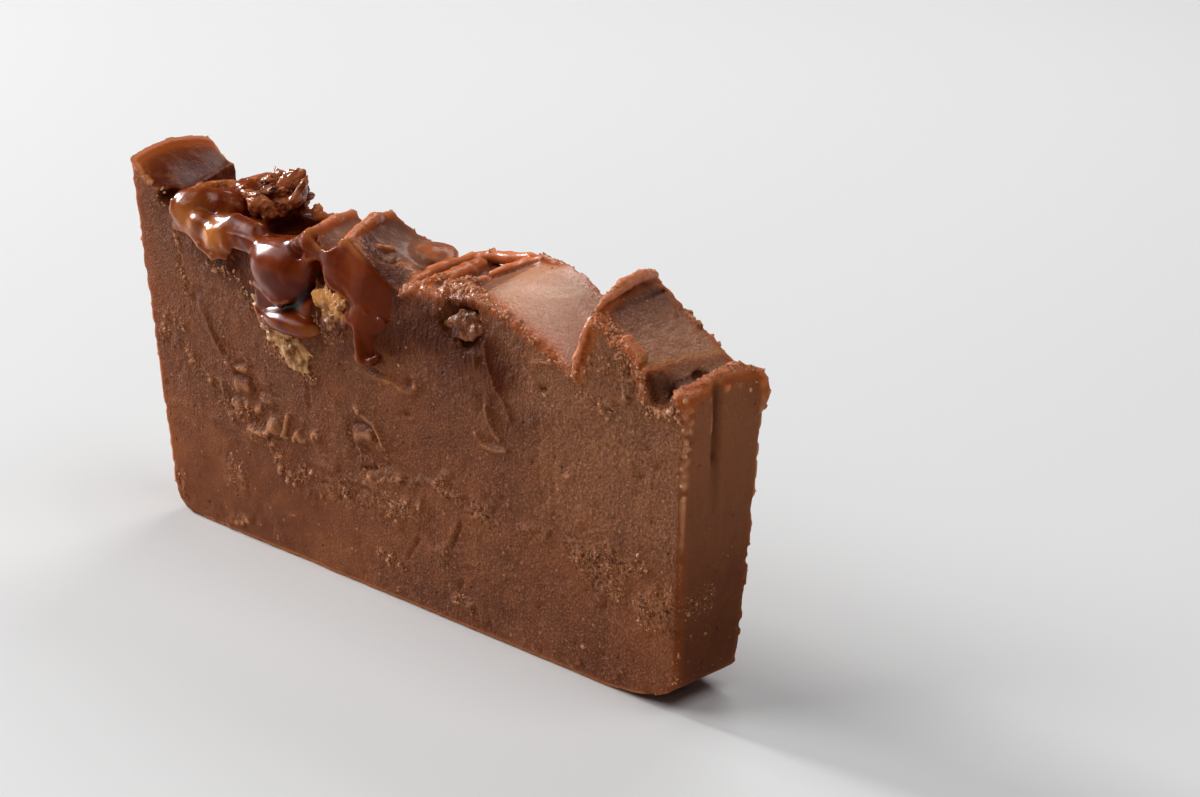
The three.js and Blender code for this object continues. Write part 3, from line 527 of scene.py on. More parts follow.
# Soft lumps in the lap of the third swirl, with the seams where they folded over each other.
egg(slab, axes, (-3.8, -5.4, 61.2), (4.6, 4.2, 2.2), 1.2, ragged=0.3, seed=75)
egg(slab, axes, (-0.6, -7.6, 60), (2.6, 2.4, 1.6), 0.8, ragged=0.3, seed=76)
egg(slab, axes, (-5.6, 5.2, 62.4), (5.4, 4.6, 1.9), 1.2, ragged=0.2, seed=78)
roll(slab, axes, [(-9.4, -1.4, 65.6, 0.3), (-5, -0.2, 63.8, 0.4), (-0.8, 0.6, 61.8, 0.6)], 0.5, carve=True)
roll(slab, axes, [(-4.6, -8.8, 64.4, 0.2), (-7.4, -3, 64.6, 0.35),
                  (-10, 3, 65, 0.3)], 0.4, carve=True, ragged=0.2, seed=79)
roll(slab, axes, [(-1.2, -0.6, 61.2, 0.6), (-0.9, 3.2, 61, 0.8)], 0.4, carve=True)
roll(slab, axes, [(-6.4, -7.2, 63.8, 0.2), (-3.4, -5.8, 62.9, 0.4),
                  (-1.4, -3.2, 62.2, 0.2)], 0.2, carve=True)
roll(slab, axes, [(-5.4, -2.6, 63.6, 0.2), (-4.2, -4.4, 63.2, 0.4),
                  (-3.4, -5.8, 62.9, 0.4)], 0.2, carve=True)
roll(slab, axes, [(-7.8, 2.4, 64.4, 0.2), (-5.4, 1, 63.6, 0.35), (-2.2, 1.2, 62.4, 0.2)], 0.2, carve=True)
roll(slab, axes, [(-9.6, -6.8, 65.6, 0.4), (-8.2, -5.2, 65, 0.9),
                  (-7.2, -2.6, 64.6, 0.5)], 0.5, ragged=0.15, seed=84)
roll(slab, axes, [(-20.4, -4.6, 65, 0.2), (-18.6, -2.4, 64.6, 0.3),
                  (-18.8, 0.6, 64.4, 0.2)], 0.3, carve=True)

# The thick lip at the back of the right-hand end, then rubble: lumps that broke off and stayed put.
egg(slab, axes, (70.3, 8.2, 54.2), (1.6, 1.8, 3.8), 0.8, ragged=0.22, seed=69)
RUBBLE = [
    (51.2, -9, 65.6, 1.3), (53, -9.2, 64.2, 1), (49.8, -9.2, 64.4, 0.9), (54.8, -9.2, 62.8, 0.8),
    (-45.4, 8.4, 63.6, 1.5), (-41.6, 8.8, 62.2, 1.3), (-37.4, 8.8, 61.6, 1.2), (-68, 8.8, 65.4, 1),
]
for n, place in enumerate(RUBBLE):
    roll(slab, axes, [place], 0.5, ragged=0.6, seed=80 + n)


def skin(field, axes):
    """Wraps the inside (negative part) of a field in a mesh: one vertex for each grid cell that the surface
    crosses, and one square for each grid edge that it crosses."""
    inside = field < 0
    cells = tuple(n - 1 for n in field.shape)
    total = np.zeros((int(np.prod(cells)), 3))
    count = np.zeros(int(np.prod(cells)))
    squares = []
    for axis in range(3):
        others = [a for a in range(3) if a != axis]
        low = [slice(None)] * 3
        high = [slice(None)] * 3
        low[axis] = slice(0, -1)
        high[axis] = slice(1, None)
        crossed = inside[tuple(low)] != inside[tuple(high)]
        for a in others:
            edge = [slice(None)] * 3
            edge[a] = 0
            crossed[tuple(edge)] = False
            edge[a] = -1
            crossed[tuple(edge)] = False
        where = np.array(np.nonzero(crossed))
        nearer = field[tuple(where)]
        further_place = where.copy()
        further_place[axis] += 1
        further = field[tuple(further_place)]
        share = nearer / (nearer - further)
        point = np.stack([axes[a][where[a]] for a in range(3)], -1).astype(float)
        point[:, axis] += share * (axes[axis][where[axis] + 1] - axes[axis][where[axis]])
        ring = []
        for step_a, step_b in ((0, 0), (-1, 0), (-1, -1), (0, -1)):
            cell = where.copy()
            cell[others[0]] += step_a
            cell[others[1]] += step_b
            index = np.ravel_multi_index(tuple(cell), cells)
            np.add.at(total, index, point)
            np.add.at(count, index, 1)
            ring.append(index)
        ring = np.stack(ring, -1)
        turn = (nearer < 0) != (axis == 1)
        ring[~turn] = ring[~turn][:, ::-1]
        squares.append(ring)
    squares = np.concatenate(squares)
    used, squares = np.unique(squares, return_inverse=True)
    return total[used] / count[used, None], squares.reshape(-1, 4)


def look_up(grid, axes, points):
    """The value of a grid at places between its points."""
    total = 0
    index = []
    share = []
    for axis, line in enumerate(axes):
        place = (points[:, axis] - line[0]) / (line[1] - line[0])
        place = np.clip(place, 0, len(line) - 1.001)
        index.append(place.astype(int))
        share.append(place - place.astype(int))
    for corner in itertools.product((0, 1), repeat=3):
        weight = 1
        for s, c in zip(share, corner):
            weight = weight * (s if c else 1 - s)
        total = total + weight * grid[index[0] + corner[0], index[1] + corner[1], index[2] + corner[2]]
    return total


def settle(points, field, axes, rounds=2):
    """Moves the vertices of a skin onto the true surface, so that no grid steps show."""
    slopes = np.gradient(field, *axes)
    for _ in range(rounds):
        gradient = np.stack([look_up(s, axes, points) for s in slopes], -1)
        size = np.maximum((gradient ** 2).sum(-1), 0.2)
        points = points - (look_up(field, axes, points) / size)[:, None] * gradient
    return points


def blurred(grid, radius):
    """A grid averaged over a box, radius counted in steps, twice over."""
    for _ in range(2):
        for axis in range(3):
            padded = np.concatenate([np.repeat(grid.take([0], axis), radius + 1, axis), grid,
                                     np.repeat(grid.take([-1], axis), radius, axis)], axis)
            running = padded.cumsum(axis, dtype=np.float64)
            size = grid.shape[axis]
            ahead = running.take(range(2 * radius + 1, 2 * radius + 1 + size), axis)
            behind = running.take(range(size), axis)
            grid = (ahead - behind) / (2 * radius + 1)
    return grid


def new_mesh(name, points, faces, marks=None):
    """A smooth mesh object from points in millimetres, with a number or more at each vertex."""
    mesh = bpy.data.meshes.new(name)
    mesh.from_pydata((np.asarray(points) * MM).tolist(), [], np.asarray(faces).tolist())
    mesh.polygons.foreach_set("use_smooth", [True] * len(mesh.polygons))
    for key, values in (marks or {}).items():
        layer = mesh.attributes.new(key, "FLOAT", "POINT")
        layer.data.foreach_set("value", np.asarray(values, np.float32))
    mesh.update()
    piece = bpy.data.objects.new(name, mesh)
    bpy.context.scene.collection.objects.link(piece)
    return piece


def fewer(points, faces, most):
    """The same skin in triangles, with the flattest ones joined until only so many are left."""
    piece = new_mesh("skin", points, np.vstack([faces[:, :3], faces[:, [0, 2, 3]]]))
    joined = piece.modifiers.new("joined", "DECIMATE")
    joined.ratio = most / (2 * len(faces))
    ready = piece.evaluated_get(bpy.context.evaluated_depsgraph_get()).to_mesh()
    places = np.zeros(3 * len(ready.vertices))
    corners = np.zeros(len(ready.loops), int)
    ready.vertices.foreach_get("co", places)
    ready.loops.foreach_get("vertex_index", corners)
    bpy.data.meshes.remove(piece.data)
    return places.reshape(-1, 3) / MM, corners.reshape(-1, 3)


points, squares = skin(slab, axes)
points, triangles = fewer(settle(points, slab, axes), squares, SLAB_TRIANGLES)
points = settle(points, slab, axes, 1)
points[:, 2] = np.maximum(points[:, 2], 0)
px, py, pz = points.T

# What the material needs to know at each vertex. Edges first: the share of empty space round it, near by and
# further off. The edges are painted with a glow, as if light went through them, most of all on the thin tops
# and the broken wall of the last big swirl, and least on the lower ends. Where the share is below nothing,
# in creases and hollows, it is painted dark as shade.
occupied = np.clip(0.5 - slab / GRID_STEP, 0, 1)
fine_edge = 1 - 2 * look_up(blurred(occupied, 1), axes, points)
wide_edge = 1 - 2 * look_up(blurred(occupied, 4), axes, points)
rim = fine_edge * np.clip(wide_edge / 0.12, 0.3, 1)
rim *= np.where(px > 60, np.clip((pz - 18) / 22, 0.3, 1), 1)
rim *= np.where(px < -60, np.clip((pz - 66.5) / 3, 0.35, 1) + (px < -67.5), 1)
thin_top_glow = wide_edge * np.clip((pz - 48) / 10, 0.3, 1)
thin_top_glow *= np.where(px < -57, np.clip((pz - 66.5) / 4, 0.15, 1), 1)
broken_wall = np.clip(1.4 - away(px, pz, [(49, 64.4), (47, 60.4), (45.8, 56)]) / 2.2, 0, 1) * (py < -6)
thin_top_glow = np.maximum(thin_top_glow, 0.32 * broken_wall)
on_top = look_up(roof - np.maximum(faces, sides), axes, points)


def on_faces(front_map, back_map):
    """The value at each vertex of a map of the front face or of the back one, whichever it is on."""
    front_value, back_value = (look_up(np.repeat(flat[:, None], 2, 1), (xs, np.array((-50, 50)), zs), points)
                               for flat in (front_map, back_map))
    return np.where(py < 0, front_value, back_value)


crumbs = on_faces(front_crumbs, back_crumbs)
raised = np.clip((on_faces(front_relief, back_relief) - 0.35) / 0.4, 0, 1) * np.clip((44 - pz) / 6, 0, 1)

# Where caramel soaked in: how strongly, half width and line on the front face. Then places painted dark: how
# strongly, size and centre, as shade in the hollows and as the wet ring round the sunk pecan. Last the
# groove down the right-hand end, which is darkened too.
SYRUP = [
    (1, 7, [(-52, 60), (-40, 57), (-22, 56)]), (1, 7, [(-22, 57), (-10, 60), (0, 60)]),
    (0.95, 6.5, [(-8, 50), (4, 52)]), (0.95, 7.5, [(2, 52), (14, 56), (26, 54)]),
    (0.6, 4, [(-24, 64), (-14, 66), (-6, 63)]), (0.5, 7, [(14, 48), (26, 46), (30, 42)]),
]
HOLLOW_SHADE_AND_STAIN = [
    (1, 2.4, (63.8, -8, 56.6)), (1, 2, (-63.4, -9, 64.4)), (1, 3, (-18.8, -8, 59.4)),
    (0.9, 1.8, (-22, -9, 55.6)), (1, 6.6, (18.6, -9, 57.6)), (0.8, 1.2, (63.9, 0.6, 56.8)),
    (0.8, 2, (-39, 4, 60.8)),
]
smudge = 2.5 * rough(px, py, pz, 5, 91)
syrup_and_hollow_shade = np.zeros(len(points))
for strength, wide, path in SYRUP:
    reach = 1.3 - (away(px, pz, path) + smudge) / wide
    syrup_and_hollow_shade = np.maximum(syrup_and_hollow_shade, strength * np.clip(reach, 0, 1))
syrup_and_hollow_shade *= np.clip((-py - 4) / 4, 0, 1)
for strength, size, (hx, hy, hz) in HOLLOW_SHADE_AND_STAIN:
    reach = np.sqrt((px - hx) ** 2 + (py - hy) ** 2 / 3 + (pz - hz) ** 2) / size
    syrup_and_hollow_shade = np.maximum(syrup_and_hollow_shade, strength * np.clip(1.5 - reach, 0, 1))
in_groove = np.clip(1.6 - away(py, pz, [(-2.7, 58), (-2.1, 52), (-1.6, 45), (-1.5, 34)]) / 0.9, 0, 1)
in_groove = in_groove * (px > 66) * np.clip((pz - 34) / 14, 0, 1)
syrup_and_hollow_shade = np.maximum(syrup_and_hollow_shade, 0.6 * in_groove)

# The right-hand end is sandier, and the lower left is calm and smooth.
sandy_end = np.clip((px - 22 + smudge * 2) / 20, 0, 1) * np.clip((pz - 24) / 8, 0, 1)
calm = np.clip((24 - pz + smudge) / 12, 0, 1) * np.clip((-6 - px) / 30 + 0.2, 0, 1)

# A stripe of ochre at the foot of the last big facet, and two smears of butter on the pale one before it.
BUTTER_RING = [(28.8, -1), (29.4, 2.6), (31, 5.8), (32.4, 5.2), (31.6, 1.6), (30, -0.6)]
BUTTER_STREAK = [(24.4, 2), (25.6, 7), (27, 9)]
ochre_stripe = np.clip(1.5 - np.abs(px - 61.5 - 0.05 * py - 0.05 * smudge) / 0.42, 0, 1)
ochre_stripe = ochre_stripe * (pz > 57) * np.clip(on_top, 0, 1)
butter_ring = np.clip(1.6 - away(px, py, BUTTER_RING) / 0.35, 0, 1)
butter_streak = 0.7 * np.clip(1.6 - away(px, py, BUTTER_STREAK) / 0.3, 0, 1)
butter_mark = np.maximum(butter_ring, butter_streak) * (on_top > 0)

# Each facet is darkest under its crest and paler towards its foot, partly as painted shade under the crest,
# but the satin one is palest at the crest, partly as painted sheen.
paleness = np.zeros(len(points))
satin = np.zeros(len(points), bool)
t = (py + TOP_HALF) / (2 * TOP_HALF)
for swirl in SWIRLS:
    crest, foot = (across([place[0] for place in swirl[line]], t) for line in ("crest", "foot"))
    down = (px - crest) / (foot - crest)
    if swirl["paleness"] < 1:
        shade = np.clip(0.16 - 0.2 * swirl["paleness"] + 1.45 * down, 0, 1)
    else:
        shade = 1.12 - 0.42 * down
    paleness = np.where(down > 0, swirl["paleness"] * shade, paleness)
    satin = np.where(down > 0, swirl["paleness"] == 1, satin)
    if swirl is SWIRLS[0]:
        block_rim = np.clip(px - crest, 0, 9) + 9 * (on_top < -0.4)
skin_paleness_and_shade = np.clip(paleness, 0, 1)

# The rolled lips are thin, so they get a painted glow, and syrup runs off them.
lip = np.zeros(len(points))
for _, line in LIPS:
    line = np.array(line, float)
    for a, b in zip(line[:-1], line[1:]):
        d = (b - a)[:3]
        along = np.clip((points - a[:3]) @ d / (d @ d), 0, 1)
        gap = np.linalg.norm(points - a[:3] - along[:, None] * d, axis=1)
        lip = np.maximum(lip, np.exp(-(gap / 1.7) ** 2))
lip *= np.clip(on_top + 0.8, 0, 1)
syrup_and_hollow_shade *= 1 - 0.75 * lip

# The corner at the left-hand end gets a painted glow too, as if light went through it, and the right-hand
# end has a skin of its own.
from_left_end = -look_up(np.broadcast_to(left, slab.shape), axes, points)
on_right_end = np.clip(look_up(np.broadcast_to(right, slab.shape), axes, points) + 1.2, 0, 1)
painted_corner_glow = np.exp(-np.clip(from_left_end - 0.3, 0, None) / 2.2 - np.clip(9.6 - np.abs(py), 0, None) / 2.2)
# The block's crest at the left gets a painted glow as well, fading down its facet.
lit_edge = np.maximum(rim + 0.1 * lip + 0.12 * broken_wall, 0.34 * np.exp(-(block_rim / 1.2) ** 2))

MARKS = {
    "edge": np.where(fine_edge < 0, fine_edge, lit_edge),
    "painted_thin_glow": np.maximum(thin_top_glow + 0.24 * lip, 0.36 * np.exp(-block_rim / 3.4)),
    "top_skin": np.clip(on_top * 2 + 0.5, 0, 1),
    "crumbly": crumbs,
    "syrup": syrup_and_hollow_shade,
    "sandy": sandy_end,
    "ochre": ochre_stripe,
    "pale": skin_paleness_and_shade,
    "painted_corner_glow": painted_corner_glow,
    "end": on_right_end,
    "calm": np.maximum(calm, on_right_end * np.clip((62 - pz) / 20, 0.3, 0.9)),
    "butter": butter_mark,
    "raised": raised,
}
slab_piece = new_mesh("fudge_slab", points, triangles, MARKS)


def colour(code):
    """A six-figure sRGB colour as the linear numbers that the shader takes."""
    parts = [int(code[i:i + 2], 16) / 255 for i in (1, 3, 5)]
    return tuple(p / 12.92 if p <= 0.04045 else ((p + 0.055) / 1.055) ** 2.4 for p in parts) + (1,)


def add(tree, kind, settings=None, links=None, output=None):
    """Adds a shader node with its settings and links, and gives the output that is named, or else the first
    one in use. The key of a setting or a link is an input's name or number. In a Mix, input 0 is the share,
    2 and 3 are the numbers that are mixed, and 6 and 7 the colours."""
    made = tree.nodes.new("ShaderNode" + kind)
    for key, value in (settings or {}).items():
        if isinstance(key, str) and hasattr(made, key):
            setattr(made, key, value)
        else:
            made.inputs[key].default_value = value
    for key, source in (links or {}).items():
        tree.links.new(source, made.inputs[key])
    if output:
        return made.outputs[output]
    return next(socket for socket in made.outputs if socket.enabled)


def per_mm(size):
    """The scale of a texture whose bumps are about this many millimetres apart."""
    return 1 / (size * MM)


# Milk chocolate fudge, cut with a knife: a matt brown mass of fine sugar crystals, drawn 0.5 mm apart, which
# is coarser than real ones, so that they show. Thin edges are painted orange and pale, as a glow of light
# through them, and creases and hollows are painted dark as shade. Crumbly places are paler and dull. The
# skin that set against the air is smoother, closer to satin. Where caramel ran, it is darker and wet.
fudge = bpy.data.materials.new("milk_chocolate_fudge")
fudge.use_nodes = True
tree = fudge.node_tree
shader = tree.nodes["Principled BSDF"]
place = add(tree, "TexCoord", output="Object")
(edge, painted_thin_glow, top_skin, crumbly, syrup, sandy, ochre, pale, painted_corner_glow, end, calm, butter,
 raised) = (add(tree, "Attribute", {"attribute_name": mark}, output="Fac") for mark in MARKS)

# The patterns: clouds in the mass, mottling, sugar crystals, grit, and the drag of the two knives.
cloud = add(tree, "TexNoise", {"Scale": per_mm(16), "Detail": 3, "Roughness": 0.6}, {"Vector": place})
mottle = add(tree, "TexNoise", {"Scale": per_mm(3), "Detail": 4, "Roughness": 0.65}, {"Vector": place})
crystals = add(tree, "TexNoise", {"Scale": per_mm(0.5), "Detail": 2, "Roughness": 0.7}, {"Vector": place})
grit = add(tree, "TexVoronoi", {"Scale": per_mm(0.9)}, {"Vector": place})
smeared = add(tree, "Mapping", {"Scale": (1, 1, 0.12)}, {"Vector": place})
streaks = add(tree, "TexNoise", {"Scale": per_mm(1.1), "Detail": 2}, {"Vector": smeared})
specks = add(tree, "TexNoise", {"Scale": per_mm(1.8), "Detail": 3}, {"Vector": place})
brushed = add(tree, "Mapping", {"Scale": (1, 0.1, 1)}, {"Vector": place})
brushing = add(tree, "TexNoise", {"Scale": per_mm(0.9), "Detail": 2}, {"Vector": brushed})

# The mass, cloudy and mottled, sandier at the right-hand end.
cloud_share = add(tree, "MapRange", {"From Min": 0.35, "From Max": 0.65}, {"Value": cloud})
body = add(tree, "Mix", {"data_type": "RGBA", 6: colour("#8e502e"), 7: colour("#703c24")}, {0: cloud_share})
mottle_share = add(tree, "MapRange", {"From Min": 0.45, "From Max": 0.8, "To Max": 0.6}, {"Value": mottle})
body = add(tree, "Mix", {"data_type": "RGBA", 7: colour("#a2623e")}, {0: mottle_share, 6: body})
sand_share = add(tree, "Math", {"operation": "MULTIPLY", 1: 0.22}, {0: sandy})
body = add(tree, "Mix", {"data_type": "RGBA", 7: colour("#b27c56")}, {0: sand_share, 6: body})

# The set skin: dark and clear to pale and milky, with its paleness carrying painted shade under each crest,
# brushed by the palette knife, with specks, smears, and pits painted dark as shade.
skin_tone = add(tree, "Mix", {"data_type": "RGBA", 6: colour("#5a1e0a"), 7: colour("#da9c78")}, {0: pale})
skin_share = add(tree, "MapRange", {"From Min": 0.3, "From Max": 0.7, "To Min": 0.85, "To Max": 1},
                 {"Value": brushing})
skin_share = add(tree, "Math", {"operation": "MULTIPLY"}, {0: skin_share, 1: top_skin})
speck_share = add(tree, "MapRange", {"From Min": 0.66, "From Max": 0.74, "To Max": 0.5}, {"Value": specks})
smears = add(tree, "MapRange", {"From Min": 0.5, "From Max": 0.66, "To Max": 0.35}, {"Value": mottle})
painted_pit_shade = add(tree, "MapRange", {"From Min": 0.3, "From Max": 0.6, "To Max": 0.5}, {"Value": grit})
unpaled = add(tree, "Math", {"operation": "SUBTRACT", 0: 1.0}, {1: pale})
for where in (sandy, unpaled):
    painted_pit_shade = add(tree, "Math", {"operation": "MULTIPLY"}, {0: painted_pit_shade, 1: where})
butter_share = add(tree, "Math", {"operation": "MULTIPLY", 1: 0.6}, {0: butter})
for code, share in (("#7a3c22", speck_share), ("#b0704e", smears), ("#7c4228", painted_pit_shade),
                    ("#e4b890", butter_share)):
    skin_tone = add(tree, "Mix", {"data_type": "RGBA", 7: colour(code)}, {0: share, 6: skin_tone})
skin_colour = add(tree, "Mix", {"data_type": "RGBA"}, {0: skin_share, 6: body, 7: skin_tone})

# On the cut faces: pale crystals and dark gaps between them, a few large flecks, and pores painted dark as
# shade in them. Each row is the pattern, where in its range the mark begins and is full, how strong it is,
# where it is, and its colour.
not_skin = add(tree, "Math", {"operation": "SUBTRACT", 0: 1.0}, {1: top_skin})
uneven = add(tree, "Math", {"operation": "MULTIPLY_ADD", 1: -0.75, 2: 1.0}, {0: calm})
grainy = add(tree, "Math", {"operation": "MULTIPLY_ADD", 1: 0.5, 2: 0.85}, {0: sandy})
for where in (uneven, not_skin):
    grainy = add(tree, "Math", {"operation": "MULTIPLY"}, {0: grainy, 1: where})
seeds = add(tree, "TexVoronoi", {"Scale": per_mm(2.6)}, {"Vector": place})
moved = add(tree, "Mapping", {"Location": (0.3, 0.2, 0.1)}, {"Vector": place})
pores = add(tree, "TexVoronoi", {"Scale": per_mm(3.4)}, {"Vector": moved})
CUT_MARKS = [
    (crystals, 0.52, 0.72, 0.8, grainy, "#b87c56"), (crystals, 0.45, 0.3, 0.42, grainy, "#4f2817"),
    (seeds, 0.13, 0.08, 0.8, not_skin, "#c08a62"), (pores, 0.12, 0.05, 0.6, not_skin, "#331809"),
]
grained = skin_colour
mark_shares = []
for pattern, begins, full, strength, where, code in CUT_MARKS:
    share = add(tree, "MapRange", {"From Min": begins, "From Max": full, "To Max": strength},
                {"Value": pattern})
    share = add(tree, "Math", {"operation": "MULTIPLY"}, {0: share, 1: where})
    grained = add(tree, "Mix", {"data_type": "RGBA", 7: colour(code)}, {0: share, 6: grained})
    mark_shares.append(share)
*_, fleck_share, pore_share = mark_shares

# Crumbly places: pale tips, and gaps painted dark as shade. Raised lumps are pale as well.
rubble = add(tree, "TexNoise", {"Scale": per_mm(0.75), "Detail": 3, "Roughness": 0.7}, {"Vector": place})
tips = add(tree, "MapRange", {"From Min": 0.48, "From Max": 0.62}, {"Value": rubble})
painted_shade_gaps = add(tree, "MapRange", {"From Min": 0.46, "From Max": 0.36}, {"Value": rubble})
crumb_share = add(tree, "Math", {"operation": "MULTIPLY"}, {0: tips, 1: crumbly})
gap_shade_share = add(tree, "Math", {"operation": "MULTIPLY"}, {0: painted_shade_gaps, 1: crumbly})
raised_share = add(tree, "Math", {"operation": "MULTIPLY", 1: 0.6}, {0: raised})
crumbled_colour = grained
for code, share in (("#c88a62", raised_share), ("#bd7e54", crumb_share), ("#4e2814", gap_shade_share)):
    crumbled_colour = add(tree, "Mix", {"data_type": "RGBA", 7: colour(code)},
                          {0: share, 6: crumbled_colour})

# The right-hand end is painted dark at the bottom and paler towards the top, as painted shade and light.
height_up = add(tree, "SeparateXYZ", links={"Vector": place}, output="Z")
lightness = add(tree, "MapRange", {"From Min": 12 * MM, "From Max": 62 * MM}, {"Value": height_up})
end_painted_light = add(tree, "Mix", {"data_type": "RGBA", 6: colour("#4e240c"), 7: colour("#ae6a46")}, {0: lightness})
end_share = add(tree, "Math", {"operation": "MULTIPLY", 1: 0.6}, {0: end})
crumbled_colour = add(tree, "Mix", {"data_type": "RGBA"}, {0: end_share, 6: crumbled_colour, 7: end_painted_light})

# Painted glow, as of light through the corner, the thin tops and the sharp edges. Then painted shade in the
# creases, ochre, and syrup over it all, with painted shade in the hollows.
corner_glow_share = add(tree, "Math", {"operation": "MULTIPLY", 1: 0.8}, {0: painted_corner_glow})
glowing = add(tree, "Mix", {"data_type": "RGBA", 7: colour("#b4561e")}, {0: corner_glow_share, 6: crumbled_colour})
painted_thin_glow_share = add(tree, "MapRange", {"From Min": 0.05, "From Max": 0.32, "To Max": 0.95}, {"Value": painted_thin_glow})
edged = add(tree, "Mix", {"data_type": "RGBA", 7: colour("#bc5c24")}, {0: painted_thin_glow_share, 6: glowing})
edge_share = add(tree, "MapRange", {"From Min": 0.08, "From Max": 0.32, "To Max": 0.95}, {"Value": edge})
dry_edge = add(tree, "Math", {"operation": "MAXIMUM"}, {0: sandy, 1: crumbly})
edge_tone = add(tree, "Mix", {"data_type": "RGBA", 6: colour("#e29258"), 7: colour("#e8a474")},
                {0: dry_edge})
lit_share = add(tree, "MapRange", {"From Min": 0.14, "From Max": 0.34}, {"Value": painted_thin_glow})
edge_tone = add(tree, "Mix", {"data_type": "RGBA", 7: colour("#e88e62")}, {0: lit_share, 6: edge_tone})
edged = add(tree, "Mix", {"data_type": "RGBA"}, {0: edge_share, 6: edged, 7: edge_tone})
# Painted shade in the creases, where the edge mark is below nothing.
crevice_shade_share = add(tree, "MapRange", {"From Min": -0.1, "From Max": -0.4, "To Max": 0.7}, {"Value": edge})
syrup_and_shade_share = add(tree, "Math", {"operation": "MULTIPLY", 1: 0.9}, {0: syrup})
stained = edged
for code, share in (("#2e1208", crevice_shade_share), ("#bc7c46", ochre), ("#4c1c08", syrup_and_shade_share)):
    stained = add(tree, "Mix", {"data_type": "RGBA", 7: colour(code)}, {0: share, 6: stained})
tree.links.new(stained, shader.inputs["Base Color"])

# Roughness: the cut face is uneven, the skin smoother, crumbs dull, and syrup wet.
cut_roughness = add(tree, "MapRange", {"From Min": 0.3, "From Max": 0.7, "To Min": 0.5, "To Max": 0.7},
                    {"Value": mottle})
skin_roughness = add(tree, "MapRange", {"To Min": 0.25, "To Max": 0.29}, {"Value": pale})
matt = add(tree, "Mix", {"data_type": "FLOAT"}, {0: top_skin, 2: cut_roughness, 3: skin_roughness})
matt = add(tree, "Mix", {"data_type": "FLOAT", 3: 0.8}, {0: crumb_share, 2: matt})
wet = add(tree, "Mix", {"data_type": "FLOAT", 3: 0.26}, {0: syrup_and_shade_share, 2: matt})
tree.links.new(wet, shader.inputs["Roughness"])

# Relief too fine for the mesh. Under syrup it is drowned, and the syrup has wet wrinkles of its own.
height = add(tree, "Math", {"operation": "MULTIPLY", 1: 1.7}, {0: crystals})
sand_height = add(tree, "Math", {"operation": "MULTIPLY"}, {0: grit, 1: sandy})
rubble_height = add(tree, "Math", {"operation": "MULTIPLY"}, {0: rubble, 1: crumbly})
for amount, part in ((0.7, sand_height), (3.2, rubble_height), (0.7, streaks), (1.7, mottle)):
    height = add(tree, "Math", {"operation": "MULTIPLY_ADD", 1: amount}, {0: part, 2: height})
height = add(tree, "Math", {"operation": "MULTIPLY"}, {0: height, 1: uneven})
for amount, part in ((-1.2, pore_share), (0.8, fleck_share)):
    height = add(tree, "Math", {"operation": "MULTIPLY_ADD", 1: amount}, {0: part, 2: height})
skin_height = add(tree, "Math", {"operation": "MULTIPLY"}, {0: brushing, 1: pale})
skin_height = add(tree, "Math", {"operation": "MULTIPLY", 1: 0.05}, {0: skin_height})
skin_sand = add(tree, "Math", {"operation": "MULTIPLY"}, {0: crystals, 1: sandy})
for amount, part in ((0.4, mottle), (0.14, crystals), (0.6, sand_height), (1.2, skin_sand)):
    skin_height = add(tree, "Math", {"operation": "MULTIPLY_ADD", 1: amount}, {0: part, 2: skin_height})
height = add(tree, "Mix", {"data_type": "FLOAT"}, {0: top_skin, 2: height, 3: skin_height})
wrinkled = add(tree, "Mapping", {"Scale": (1, 1, 0.6)}, {"Vector": place})
wet_wrinkles = add(tree, "TexNoise", {"Scale": per_mm(1.4), "Detail": 3, "Distortion": 1.2},
                   {"Vector": wrinkled})
wet_height = add(tree, "Math", {"operation": "MULTIPLY"}, {0: wet_wrinkles, 1: syrup})
height = add(tree, "Math", {"operation": "MULTIPLY_ADD", 1: 5.4}, {0: wet_height, 2: height})
dry = add(tree, "Math", {"operation": "MULTIPLY_ADD", 1: -0.3, 2: 1.0}, {0: syrup})
bump = add(tree, "Bump", {"Distance": 0.3 * MM}, {"Height": height, "Strength": dry})
tree.links.new(bump, shader.inputs["Normal"])
shader.inputs["Specular IOR Level"].default_value = 0.055
shader.inputs["Subsurface Weight"].default_value = 0.1
shader.inputs["Subsurface Radius"].default_value = (1, 0.35, 0.12)
shader.inputs["Subsurface Scale"].default_value = 1.5 * MM
slab_piece.data.materials.append(fudge)

# The same fudge with other sheens: the set skin, the satin facet, and the face that is soaked in syrup, with
# the hollows that are painted dark as shade.
for name, sheen in (("fudge_set_skin", 0.15), ("fudge_pale_skin", 0.7), ("fudge_under_syrup", 0.03)):
    finish = fudge.copy()
    finish.name = name
    finish.node_tree.nodes["Principled BSDF"].inputs["Specular IOR Level"].default_value = sheen
    slab_piece.data.materials.append(finish)
skin_finish = np.where(satin, 2, 1)
cut_finish = np.where(syrup_and_hollow_shade > 0.5, 3, 0)
finish_of = np.where((on_top > 0) & (skin_paleness_and_shade > 0.02), skin_finish, cut_finish)
slab_piece.data.polygons.foreach_set("material_index", finish_of[triangles[:, 0]].astype(np.int32))
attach(slab_piece, "root")
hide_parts("fudge")

# ---- Crumbs ----
# Loose crumbs of the same fudge, a third of a millimetre to a millimetre and a half across. The knife broke
# them out of the cut edges and of the dry seams in the faces, and they stuck where they fell.

LOOSE_CRUMBS = 6800
LARGE_CRUMB = 0.36  # larger ones get a finer shape
